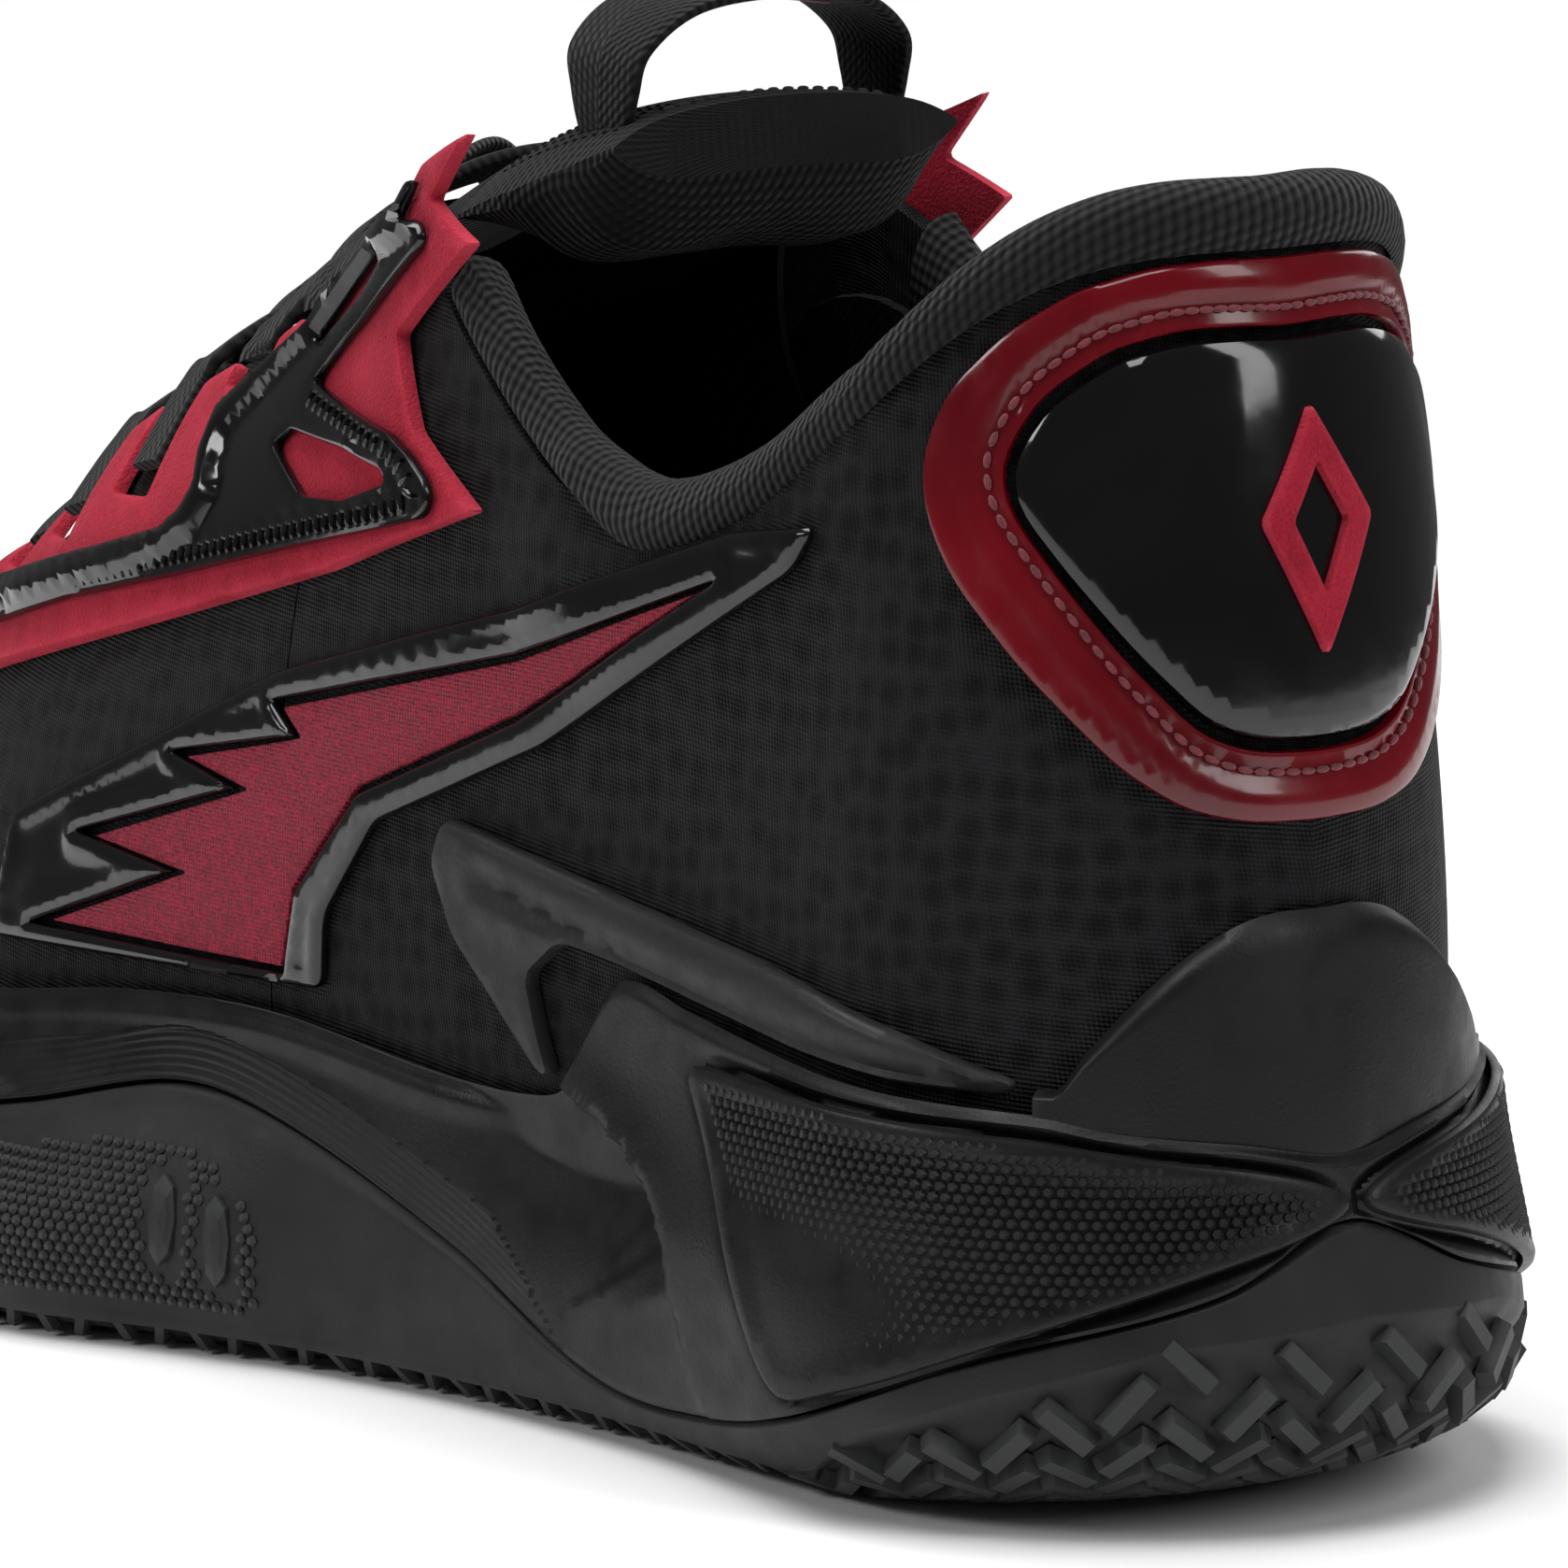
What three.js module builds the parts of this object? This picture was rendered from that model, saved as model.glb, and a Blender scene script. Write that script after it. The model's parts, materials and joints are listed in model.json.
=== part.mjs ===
// Low-collared basketball shoe, left foot. Millimetres, +X to the toe, +Y to the outer side, +Z up,
// with the origin on the ground under the centre of the heel.
// Every piece follows one form. A racetrack line runs round the shoe: Q is the distance along it
// from the back of the heel, positive on the outer side and negative on the inner side.
import * as THREE from "three";
import { mergeVertices } from "three/addons/utils/BufferGeometryUtils.js";
import { TessellateModifier } from "three/addons/modifiers/TessellateModifier.js";

// Overall sizes
const HEEL_R = 38; // radius of the racetrack's two end arcs
const LAST_RUN = 205; // straight run between the arcs, which sets the length
const SHOE_WIDTH = 1; // scale of every half width
const COLLAR_RISE = 0; // added to the collar and the top of the tongue
// Layers, outward from the form surface (0) or inward from it (negative)
const GAP = 0.3; // clearance between neighbouring pieces
const FABRIC = 2; // thickness of the woven upper
const STIFFENER = 1.2; // heel stiffener between upper and lining
const LINING = 1.3;
const FLAP = 0.6; // clearance under the eyestay flaps
const SUEDE = 1.6; // eyestay flaps
const CAGE = 1.4; // moulded cage over the flaps
const PATCH = 1.2; // heel ring and side stripe
const BADGE = 2; // edge thickness of the heel badge
const DOME = 1.6; // extra height of the badge at its middle
const RUBBER = 3; // outsole side wall
const TREAD = 4.5; // outsole floor, ground to foam
const BOARD = 2; // lasting board
const SOCKLINER = 5;
const LACE_W = 7.5;
const LACE_T = 1.6;
const WEBBING_W = 15; // pull loop
const WEBBING_T = 1.6;
const TONGUE_T = 8; // gusset
const PAD_T = 16; // padded top of the tongue
const FOLD = 80; // where the padded top folds, just behind the highest lace

const ARC = (HEEL_R * Math.PI) / 2; // end of the heel arc
const TOE = 2 * ARC + LAST_RUN; // the toe tip
const CLAMP = (v, a, b) => Math.min(b, Math.max(a, v));

// A smooth line through [place, value] knots.
function line(...knots) {
  const n = knots.length;
  const slope = (i) =>
    i === 0 || i === n - 1 ? 0 : (knots[i + 1][1] - knots[i - 1][1]) / (knots[i + 1][0] - knots[i - 1][0]);
  return (s) => {
    s = CLAMP(s, knots[0][0], knots[n - 1][0]);
    let i = 0;
    while (i < n - 2 && s > knots[i + 1][0]) i++;
    const [a, va] = knots[i], [b, vb] = knots[i + 1];
    const h = b - a, t = (s - a) / h;
    return va * (1 + 2 * t) * (1 - t) ** 2 + vb * t * t * (3 - 2 * t)
      + h * t * (1 - t) * (slope(i) * (1 - t) - slope(i + 1) * t);
  };
}

// The form of the upper: for each place along the track a curve from the feather edge to the top.
const FORM = {
  footOuter: line([0, 31.5], [30, 32], [60, 32], [100, 32.5], [140, 35], [170, 38.5], [200, 42], [230, 43],
    [265, 39.5], [292, 37.5], [325, 41]),
  footInner: line([0, 31.5], [30, 32], [60, 32], [100, 29.5], [140, 29], [170, 34.5], [200, 40], [230, 42.5],
    [265, 39], [292, 37], [325, 41]),
  footZ: line([0, 24], [60, 22], [120, 19], [180, 14], [240, 12], [264.7, 12.4], [285, 14], [325, 19]),
  topR: line([0, 24], [30, 25.5], [60, 29.5], [88, 32], [106, 32.5], [119, 31.5], [130, 29], [141, 26], [154, 23.5],
    [181, 20.5], [205, 18], [225, 15], [240, 10], [249.9, 0], [250, 0], [325, 0]),
  topZ: line([0, 130], [25, 129], [42, 124], [60, 114], [75, 105], [90, 103], [101, 108], [110, 121], [119, 131],
    [127, 130], [141, 118], [154, 111], [165, 105], [181, 98.5], [202, 90], [219, 79], [235, 71.5], [250, 65],
    [264.6, 60], [265, 60], [325, 60]),
  lowOut: line([0, 4], [60, 5.5], [120, 6.5], [200, 7.5], [262, 9], [325, 9]),
  lowUp: line([0, 34], [60, 30], [120, 30], [180, 26], [240, 16], [325, 18]),
  topOut: line([0, 4], [30, 4], [60, 2.5], [88, 1.5], [105, 2], [119, 3], [130, 6], [145, 10], [180, 15],
    [225, 20], [250, 28], [290, 28], [325, 30]),
  topDown: line([0, 38], [60, 34], [88, 26], [105, 30], [119, 34], [130, 30], [145, 22], [180, 14], [225, 8],
    [250, 1], [265, 0], [325, 6]),
};
// The form of the sole's outside: bottom edge, widest line and lip.
const SOLE = {
  edgeOuter: line([0, 17], [30, 19], [45, 22], [60, 27], [75, 30], [95, 31.5], [115, 34], [135, 38], [155, 46],
    [172, 55], [195, 59], [225, 59], [255, 52], [285, 43], [325, 40]),
  edgeInner: line([0, 17], [30, 19], [45, 22], [60, 27], [75, 30], [100, 29], [125, 28], [150, 34], [175, 44],
    [200, 50], [230, 50], [262, 46], [290, 42], [325, 40]),
  edgeZ: line([0, 1.5], [45, 0.5], [60, 0], [61, 0], [269, 0], [270, 0], [290, 3], [325, 9]),
  wideOuter: line([0, 41.5], [30, 41.5], [60, 41], [90, 38.5], [115, 39.5], [135, 43], [155, 50], [172, 58],
    [195, 62], [225, 62], [255, 56], [285, 50], [325, 51]),
  wideInner: line([0, 41.5], [30, 41.5], [60, 41], [90, 38], [120, 36], [150, 39], [175, 48], [200, 53.5],
    [230, 53.5], [262, 50], [290, 48], [325, 51]),
  wideZ: line([0, 15], [60, 12], [100, 11], [172, 11], [270, 12], [325, 22]),
  lipOuter: line([0, 37.5], [30, 37.5], [60, 37.5], [100, 37.2], [131, 38.5], [150, 40.5], [172, 43.5], [195, 47],
    [225, 48.5], [262, 46], [292, 44.5], [325, 49]),
  lipInner: line([0, 37.5], [30, 37.5], [60, 37.5], [100, 35], [131, 34.5], [150, 36], [172, 41], [200, 46],
    [230, 48.5], [262, 46], [292, 44.5], [325, 49]),
  lipZ: line([0, 36.5], [12, 38.3], [26, 40], [32, 41.3], [50, 42.3], [63, 43.5], [80, 46], [90, 47.5], [95, 43],
    [100, 35.5], [106, 33.5], [120, 33.5], [148, 36], [172, 35], [195, 32], [230, 30], [262, 30], [300, 32],
    [325, 35]),
  // Height of the rubber on the side wall: a wrap at the ball of the foot and one round the heel.
  rubberOuter: line([0, 30], [15, 24], [37, 18], [58, 9.5], [75, 6], [92, 6.2], [116, 16.5], [144, 25.5], [160, 27.3],
    [180, 23], [215, 17], [255, 16], [285, 24], [325, 34]),
  rubberInner: line([0, 30], [15, 24], [37, 18], [58, 9.5], [75, 6], [110, 6], [150, 9], [200, 14], [255, 16],
    [285, 24], [325, 34]),
};
const COLLAR = line([0, 124.5], [25, 123.5], [42, 118.5], [60, 107.5], [75, 97], [90, 91.8], [101, 94], [110, 99],
  [118, 105.5], [127, 113], [134, 117], [141, 118]); // top of the woven upper round the foot opening
const THROAT = (s) => FORM.topZ(s) - 0.2; // top of the woven upper along the laces

const place = (q) => CLAMP(Math.abs(q), 0, TOE);
const outer = (q) => q >= 0;
const pick = (table, name, q) => table[name + (outer(q) ? "Outer" : "Inner")](stretch(place(q)));
// Tables are written for a track 325 mm from heel to toe; a longer or shorter one stretches them.
function stretch(s) {
  const arc = 59.7, run = 205;
  if (s < ARC) return (s / ARC) * arc;
  if (s < ARC + LAST_RUN) return arc + ((s - ARC) / LAST_RUN) * run;
  return arc + run + ((s - ARC - LAST_RUN) / ARC) * arc;
}
// The place on the track that a table's place stands for, and the same for an x along the tongue.
const unstretch = (s) => (s < 59.7 ? (s / 59.7) * ARC : s < 264.7 ? ARC + ((s - 59.7) / 205) * LAST_RUN
  : ARC + LAST_RUN + ((s - 264.7) / 59.7) * ARC);
const tableX = (x) => stretch(x + ARC) - 59.7;
const trackX = (x) => unstretch(x + 59.7) - ARC;
const at = (table, name, q) => table[name](stretch(place(q)));
const swing = (x) => {
  const t = CLAMP((x - 60) / 150, 0, 1);
  return -8 * t * t * (3 - 2 * t);
};
// A point r out from the centre line and z up, at place q of the track.
function put(q, r, z) {
  const s = place(q);
  const a = s < ARC ? s / HEEL_R : s > ARC + LAST_RUN ? (s - LAST_RUN) / HEEL_R : Math.PI / 2;
  const x = CLAMP(s - ARC, 0, LAST_RUN) - r * Math.cos(a);
  const y = (outer(q) ? 1 : -1) * r * Math.sin(a) * SHOE_WIDTH + swing(x);
  return new THREE.Vector3(x, y, z);
}
function formPoint(q, v) {
  const r0 = pick(FORM, "foot", q), z0 = at(FORM, "footZ", q);
  const r3 = at(FORM, "topR", q), z3 = at(FORM, "topZ", q) + COLLAR_RISE;
  const r1 = r0 + at(FORM, "lowOut", q), z1 = z0 + at(FORM, "lowUp", q);
  const r2 = r3 + at(FORM, "topOut", q), z2 = z3 - at(FORM, "topDown", q);
  const w = 1 - v, a = w ** 3, b = 3 * v * w * w, c = 3 * v * v * w, d = v ** 3;
  return put(q, a * r0 + b * r1 + c * r2 + d * r3, a * z0 + b * z1 + c * z2 + d * z3);
}
function solePoint(q, t) {
  const r0 = pick(SOLE, "edge", q), z0 = at(SOLE, "edgeZ", q);
  const r1 = pick(SOLE, "wide", q), z1 = at(SOLE, "wideZ", q);
  const r2 = pick(SOLE, "lip", q), z2 = at(SOLE, "lipZ", q);
  const split = 0.35;
  if (t < split) {
    const u = (t / split) * (Math.PI / 2);
    return put(q, r0 + (r1 - r0) * Math.sin(u), z0 + (z1 - z0) * (1 - Math.cos(u)));
  }
  const w = (t - split) / (1 - split);
  return put(q, r1 + (r2 - r1) * w * w * (3 - 2 * w), z1 + (z2 - z1) * w);
}
// The parameter at which a surface reaches height z.
function reach(point, q, z) {
  let a = 0, b = 1;
  for (let i = 0; i < 22; i++) {
    const m = (a + b) / 2;
    if (point(q, m).z < z) a = m;
    else b = m;
  }
  return (a + b) / 2;
}
// A point offset mm out from a surface.
function lift(point, q, v, offset) {
  const e = 0.01, d = 0.5;
  const lo = Math.max(0, v - e), hi = Math.min(1, v + e);
  const up = point(q, hi).sub(point(q, lo));
  const along = point(q + d, v).sub(point(q - d, v));
  const n = new THREE.Vector3().crossVectors(up, along).normalize();
  return point(q, v).addScaledVector(n, offset);
}

const group = new THREE.Group();
// Adds one closed body made of triangles, facing outward whichever way they were wound.
function add(name, geometry, material) {
  geometry.deleteAttribute("normal");
  geometry.deleteAttribute("uv");
  const g = mergeVertices(geometry, 1e-3);
  const p = g.getAttribute("position"), all = g.index.array, keep = [];
  let volume = 0;
  const A = new THREE.Vector3(), B = new THREE.Vector3(), C = new THREE.Vector3();
  for (let i = 0; i < all.length; i += 3) {
    const [a, b, c] = [all[i], all[i + 1], all[i + 2]];
    if (a === b || b === c || a === c) continue;
    keep.push(a, b, c);
    A.fromBufferAttribute(p, a);
    B.fromBufferAttribute(p, b);
    C.fromBufferAttribute(p, c);
    volume += A.dot(B.cross(C));
  }
  if (volume < 0) for (let i = 0; i < keep.length; i += 3) [keep[i + 1], keep[i + 2]] = [keep[i + 2], keep[i + 1]];
  g.setIndex(keep);
  g.computeVertexNormals();
  const mesh = new THREE.Mesh(g, material);
  mesh.name = name;
  group.add(mesh);
}
// Quads between rows of points; each row is a list, and the grid may close on itself.
function quads(rows, triangles, closeRows, closeRing, skip = () => false) {
  const n = rows.length, m = rows[0].length;
  for (let i = 0; i < (closeRows ? n : n - 1); i++)
    for (let j = 0; j < (closeRing ? m : m - 1); j++) {
      if (skip(i, j)) continue;
      const a = rows[i][j], b = rows[(i + 1) % n][j];
      const c = rows[(i + 1) % n][(j + 1) % m], d = rows[i][(j + 1) % m];
      triangles.push(a, b, c, a, c, d);
    }
}
const solid = (triangles) => new THREE.BufferGeometry().setFromPoints(triangles);
// A thick sheet: near and far are two surfaces over the same stations and the same number of rows.
function sheet(name, stations, count, near, far, material, { closed = false, ridge = Infinity } = {}) {
  const rings = stations.map((q) => {
    const ring = [];
    for (let j = 0; j < count; j++) ring.push(near(q, j / (count - 1)));
    for (let j = count - 1; j >= 0; j--) ring.push(far(q, j / (count - 1)));
    return ring;
  });
  const triangles = [];
  // Past the ridge both sides meet on the centre line, so the top edge needs no wall of its own.
  quads(rings, triangles, closed, true,
    (i, j) => j === count - 1 && stretch(Math.abs(stations[i])) >= ridge
      && stretch(Math.abs(stations[(i + 1) % stations.length])) >= ridge);
  if (!closed)
    for (const [ring, back] of [[rings[0], false], [rings[rings.length - 1], true]]) {
      const caps = [];
      for (let j = 0; j < count - 1; j++) {
        const a = ring[j], b = ring[j + 1], c = ring[2 * count - 2 - j], d = ring[2 * count - 1 - j];
        caps.push(a, b, c, a, c, d);
      }
      if (back) caps.reverse();
      triangles.push(...caps);
    }
  add(name, solid(triangles), material);
}
// A solid across the whole shoe: each section runs from the centre line at the top to it at the bottom.
function slab(name, section, material, places = around) {
  const triangles = [];
  quads(places.map(section), triangles, true, false);
  add(name, solid(triangles), material);
}
// A flat pattern in (q, z) laid on a surface, base to base + thick off it.
function overlay(name, outline, holes, base, thick, material, { point = formPoint, mirror = 1, grid = 9,
  bulge = () => 0, flatBack = false } = {}) {
  const corners = outline.map(([s, z]) => new THREE.Vector2(s, z));
  if (THREE.ShapeUtils.isClockWise(corners)) corners.reverse();
  const shape = new THREE.Shape(corners);
  for (const hole of holes) shape.holes.push(new THREE.Path(hole.map(([s, z]) => new THREE.Vector2(s, z))));
  let g = new THREE.ExtrudeGeometry(shape, { depth: 1, bevelEnabled: false });
  g.deleteAttribute("normal");
  g.deleteAttribute("uv");
  g = mergeVertices(new TessellateModifier(grid, 14).modify(g), 0.00037);
  const p = g.getAttribute("position");
  for (let i = 0; i < p.count; i++) {
    const q = Math.sign(p.getX(i)) * unstretch(Math.abs(p.getX(i))) * mirror, z = p.getY(i) + (point === formPoint ? COLLAR_RISE * CLAMP((p.getY(i) - 60) / 60, 0, 1) : 0);
    const v = reach(point, q, z);
    const rise = flatBack && p.getZ(i) < 0.5 ? 0 : bulge(p.getX(i), p.getY(i));
    const P = lift(point, q, v, base + p.getZ(i) * thick + rise);
    p.setXYZ(i, P.x, P.y, P.z);
  }
  add(name, g, material);
}
// Even stations between two places of the track.
function stations(from, to, step) {
  const n = Math.max(1, Math.round(Math.abs(to - from) / step));
  return Array.from({ length: n + 1 }, (_, i) => from + ((to - from) * i) / n);
}
const half = [...stations(0, ARC, 8.6), ...stations(ARC, ARC + LAST_RUN, 12.8).slice(1),
  ...stations(ARC + LAST_RUN, TOE, 8.6).slice(1)];
const around = [...half, ...half.slice(1, -1).reverse().map((q) => -q)];

const rubber = new THREE.MeshStandardMaterial({ color: 0x16171a, roughness: 0.75, metalness: 0 });
const foam = new THREE.MeshStandardMaterial({ color: 0x1b1c20, roughness: 0.6, metalness: 0 });
const woven = new THREE.MeshStandardMaterial({ color: 0x202126, roughness: 0.95, metalness: 0 });
const knit = new THREE.MeshStandardMaterial({ color: 0x17181c, roughness: 1, metalness: 0 });
const suede = new THREE.MeshStandardMaterial({ color: 0xa8122c, roughness: 0.9, metalness: 0 });
const redPatent = new THREE.MeshStandardMaterial({ color: 0x8a0f22, roughness: 0.25, metalness: 0 });
const gloss = new THREE.MeshStandardMaterial({ color: 0x08080a, roughness: 0.12, metalness: 0 });
const matte = new THREE.MeshStandardMaterial({ color: 0x1a1b1e, roughness: 0.55, metalness: 0 });
const board = new THREE.MeshStandardMaterial({ color: 0x8d8a84, roughness: 0.9, metalness: 0 });

// --- Sole ---
const solePlaces = [...[0, 8, 16, 24, 32, 41, 50, 59.7, 70, 80, 87, 92, 96, 100, 106, 116, 128, 140, 152, 165, 178, 191,
  204, 217, 230, 243, 254, 264.7, 274, 283, 292, 301, 309, 317].map(unstretch), TOE];
const soleAround = [...solePlaces, ...solePlaces.slice(1, -1).reverse().map((q) => -q)];
const lipHeight = (q) => at(SOLE, "lipZ", q);
const floorHeight = (q) => TREAD + at(SOLE, "edgeZ", q); // top of the rubber floor at its rim
const rubberTop = (q) => Math.max(floorHeight(q) + 1.5, Math.min(pick(SOLE, "rubber", q), lipHeight(q) - 4));
const footHeight = (q) => at(FORM, "footZ", q);
const footR = (q) => pick(FORM, "foot", q);
// Height of the floor on the centre line, where every section of an end arc meets.
const spine = (q) => at(FORM, "footZ", CLAMP(Math.abs(q), ARC, ARC + LAST_RUN));

// Rubber tread with a side wall that rises over the ball of the foot and round the heel.
slab("outsole", (q) => {
  const top = reach(solePoint, q, rubberTop(q)), floor = reach(solePoint, q, floorHeight(q));
  const wall = [1, 0.5, 0].map((k) => lift(solePoint, q, floor + (top - floor) * k, -RUBBER));
  const foot = [];
  for (let j = 5; j >= 0; j--) foot.push(lift(solePoint, q, (top * j) / 5, 0));
  wall[0].z = rubberTop(q);
  wall[1].z = Math.min(wall[1].z, rubberTop(q) - 0.6);
  wall[2].z = floorHeight(q);
  return [put(q, 0, TREAD), ...wall.reverse(), ...foot, put(q, pick(SOLE, "edge", q) * 0.68, 0), put(q, 0, 0)];
}, rubber, soleAround);

// Foam cup: the wall outside the upper ends in a lip, and the floor carries the lasting board.
slab("midsole", (q) => {
  const lip = lipHeight(q), low = rubberTop(q) + GAP;
  const inside = [0, 0.5, 1].map((k) => {
    const v = reach(formPoint, q, footHeight(q) + (lip - footHeight(q)) * k);
    return lift(formPoint, q, v, 2.4 * GAP);
  });
  inside[0].z = footHeight(q) - GAP;
  const t0 = reach(solePoint, q, low), wall = [];
  for (let j = 5; j >= 0; j--) wall.push(lift(solePoint, q, t0 + ((1 - t0) * j) / 5, 0));
  for (const p of wall) {
    const bound = lift(formPoint, q, reach(formPoint, q, p.z), 2 * GAP + 1.2);
    const axis = put(q, 0, p.z);
    if (p.distanceTo(axis) < bound.distanceTo(axis)) p.copy(bound.setZ(p.z));
  }
  const top = reach(solePoint, q, rubberTop(q)), floor = reach(solePoint, q, floorHeight(q));
  const step = [1, 0.5, 0].map((k) => lift(solePoint, q, floor + (top - floor) * k, -RUBBER - 4.5 * GAP * Math.max(1, SHOE_WIDTH)));
  step[0].z = low;
  step[1].z = Math.min(step[1].z, rubberTop(q) - 0.6);
  step[2].z = floorHeight(q) + GAP;
  return [put(q, 0, spine(q) - GAP), ...inside, ...wall, ...step, put(q, 0, TREAD + GAP)];
}, foam, soleAround);

// Rubber clip cupping the back of the heel above the foam.
const clipTop = line([0, 59.8], [6, 59.8], [11, 58.8], [17, 56], [22.5, 52], [28, 46.8], [31, 43.4]);
const clipRow = (q, k) => {
  const low = lipHeight(q) + GAP;
  return low + (Math.max(clipTop(stretch(Math.abs(q))), low + 1.2) - low) * k;
};
sheet("heel_clip", stations(-unstretch(31), unstretch(31), 5.2), 5,
  (q, k) => lift(formPoint, q, reach(formPoint, q, clipRow(q, k)), GAP + 1.4 + (60 - clipRow(q, k)) * 0.07),
  (q, k) => lift(formPoint, q, reach(formPoint, q, clipRow(q, k)), GAP), rubber);

// Textured panels on the heel's side walls.
const WINDOW = [[78, 41.5], [62, 40.8], [46, 40], [32, 39.2], [22, 37.6], [12, 36.2], [5, 34.6], [1.2, 32.8],
  [1, 31], [6.5, 29], [15.5, 26.6], [26.5, 23], [37, 19], [46.5, 15], [57, 11.4], [60, 14], [66, 23], [72, 32]];
for (const [side, mirror] of [["outer", 1], ["inner", -1]])
  overlay("heel_panel_" + side, WINDOW, [], GAP + 0.1, 1, foam, { point: solePoint, mirror, grid: (12 * HEEL_R) / 38 });

// Board and sockliner inside the upper.
const boardR = (q) => footR(q) - FABRIC - 2 * GAP;
slab("lasting_board", (q) => {
  const r = boardR(q), z = footHeight(q);
  return [put(q, 0, spine(q) + BOARD), put(q, r, z + BOARD), put(q, r, z), put(q, 0, spine(q))];
}, board);
slab("sockliner", (q) => {
  const r = footR(q) - FABRIC - STIFFENER - LINING - 5 * GAP, under = BOARD + GAP, over = under + SOCKLINER - 1;
  const z = (k) => footHeight(q) + (spine(q) - footHeight(q)) * (1 - k);
  return [put(q, 0, spine(q) + over), put(q, r - 8, z((r - 8) / boardR(q)) + over), put(q, r, z(r / boardR(q)) + over + 2),
    put(q, r, z(r / boardR(q)) + under + 1), put(q, r - 1.5, z((r - 1.5) / boardR(q)) + under), put(q, 0, spine(q) + under)];
}, knit);

// --- Upper ---
const JOIN = unstretch(150); // where the quarters meet the vamp
// The shared stations that lie between two places, with those places as ends.
const between = (from, to) => [from, ...half.filter((q) => q > from + 2 && q < to - 2), to];
const bothSides = (to) => [...between(0.01, to).slice(1).reverse().map((q) => -q), ...between(0, to)];
const edgeHeight = (q) => (stretch(Math.abs(q)) < 141 ? COLLAR(stretch(Math.abs(q))) : THROAT(stretch(Math.abs(q)))) + COLLAR_RISE;
const skin = (base, top, low = () => 0) => (q, k) => {
  const v0 = low(q), v1 = top(q);
  // Where both sides meet on the centre line the offset is straight up or down.
  if (stretch(Math.abs(q)) >= 249.9 && v0 + (v1 - v0) * k === 1) return formPoint(q, 1).add(new THREE.Vector3(0, 0, base));
  return lift(formPoint, q, v0 + (v1 - v0) * k, base);
};
const toEdge = (q) => (stretch(Math.abs(q)) >= 249.9 ? 1 : reach(formPoint, q, edgeHeight(q)));
for (const [side, mirror] of [["outer", 1], ["inner", -1]])
  sheet("quarter_" + side, between(0.2, JOIN - GAP).map((q) => q * mirror), 7, skin(0, toEdge),
    skin(-FABRIC, toEdge), woven);
const frontPlaces = [...stations(JOIN, unstretch(250), 11), unstretch(257.7), ...stations(ARC + LAST_RUN, TOE, 8.6)];
const front = [...frontPlaces, ...frontPlaces.slice(0, -1).reverse().map((q) => -q)];
sheet("vamp", front, 8, skin(0, toEdge), skin(-FABRIC, toEdge), woven, { ridge: 249.5 });
// Overlay round the toe, from just above the lip.
const capPlaces = stations(unstretch(252), TOE, 8.6);
const cap = [...capPlaces, ...capPlaces.slice(0, -1).reverse().map((q) => -q)];
const capTop = line([252, 0.32], [275, 0.48], [325, 0.6]);
const aboveLip = (q) => reach(formPoint, q, lipHeight(q) + 0.8);
sheet("toe_cap", cap, 5, skin(GAP + PATCH, (q) => capTop(stretch(Math.abs(q))), aboveLip),
  skin(GAP, (q) => capTop(stretch(Math.abs(q))), aboveLip), matte);
// Stiffener and lining.
const deep = FABRIC + GAP + 0.1;
const cupTop = line([0, 78], [45, 66], [72, 46]);
const cupV = (f) => (q) => reach(formPoint, q, f(stretch(Math.abs(q))));
sheet("heel_stiffener", bothSides(unstretch(72)), 5, skin(-deep, cupV(cupTop), cupV(() => 29)),
  skin(-deep - STIFFENER, cupV(cupTop), cupV(() => 29)), matte);
const lined = deep + STIFFENER + GAP;
const liningTop = (q) => {
  const s = stretch(Math.abs(q));
  const drop = s < 105 ? 3 : s < 150 ? 3 + (s - 105) * 0.24 : 13.8;
  return s > 225 ? Math.min(0.62, reach(formPoint, unstretch(225), THROAT(225) - 13.8)) : reach(formPoint, q, edgeHeight(q) - drop);
};
const liningLow = (q) => reach(formPoint, q, footHeight(q) + BOARD + 2 * GAP);
sheet("lining", around, 5, skin(-lined, liningTop, liningLow), skin(-lined - LINING, liningTop, liningLow), knit,
  { closed: true });

// Padded knitted roll round the foot opening: it caps the edge and runs down inside as padding.
const NEAR = [[0.9, -1.6], [1.9, 0], [2.2, 2.2], [1, 4.6], [-2, 5.6], [-5.5, 4.6], [-8.6, 0.5], [-9.6, -8], [-7.4, -17]];
const FAR = [[0.6, -1.3], [0.6, 0], [0.5, 0.9], [-0.8, 1], [-2.4, 1], [-4.2, 1], [-6, 0.6], [-6.1, -8], [-6.1, -16.6]];
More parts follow.
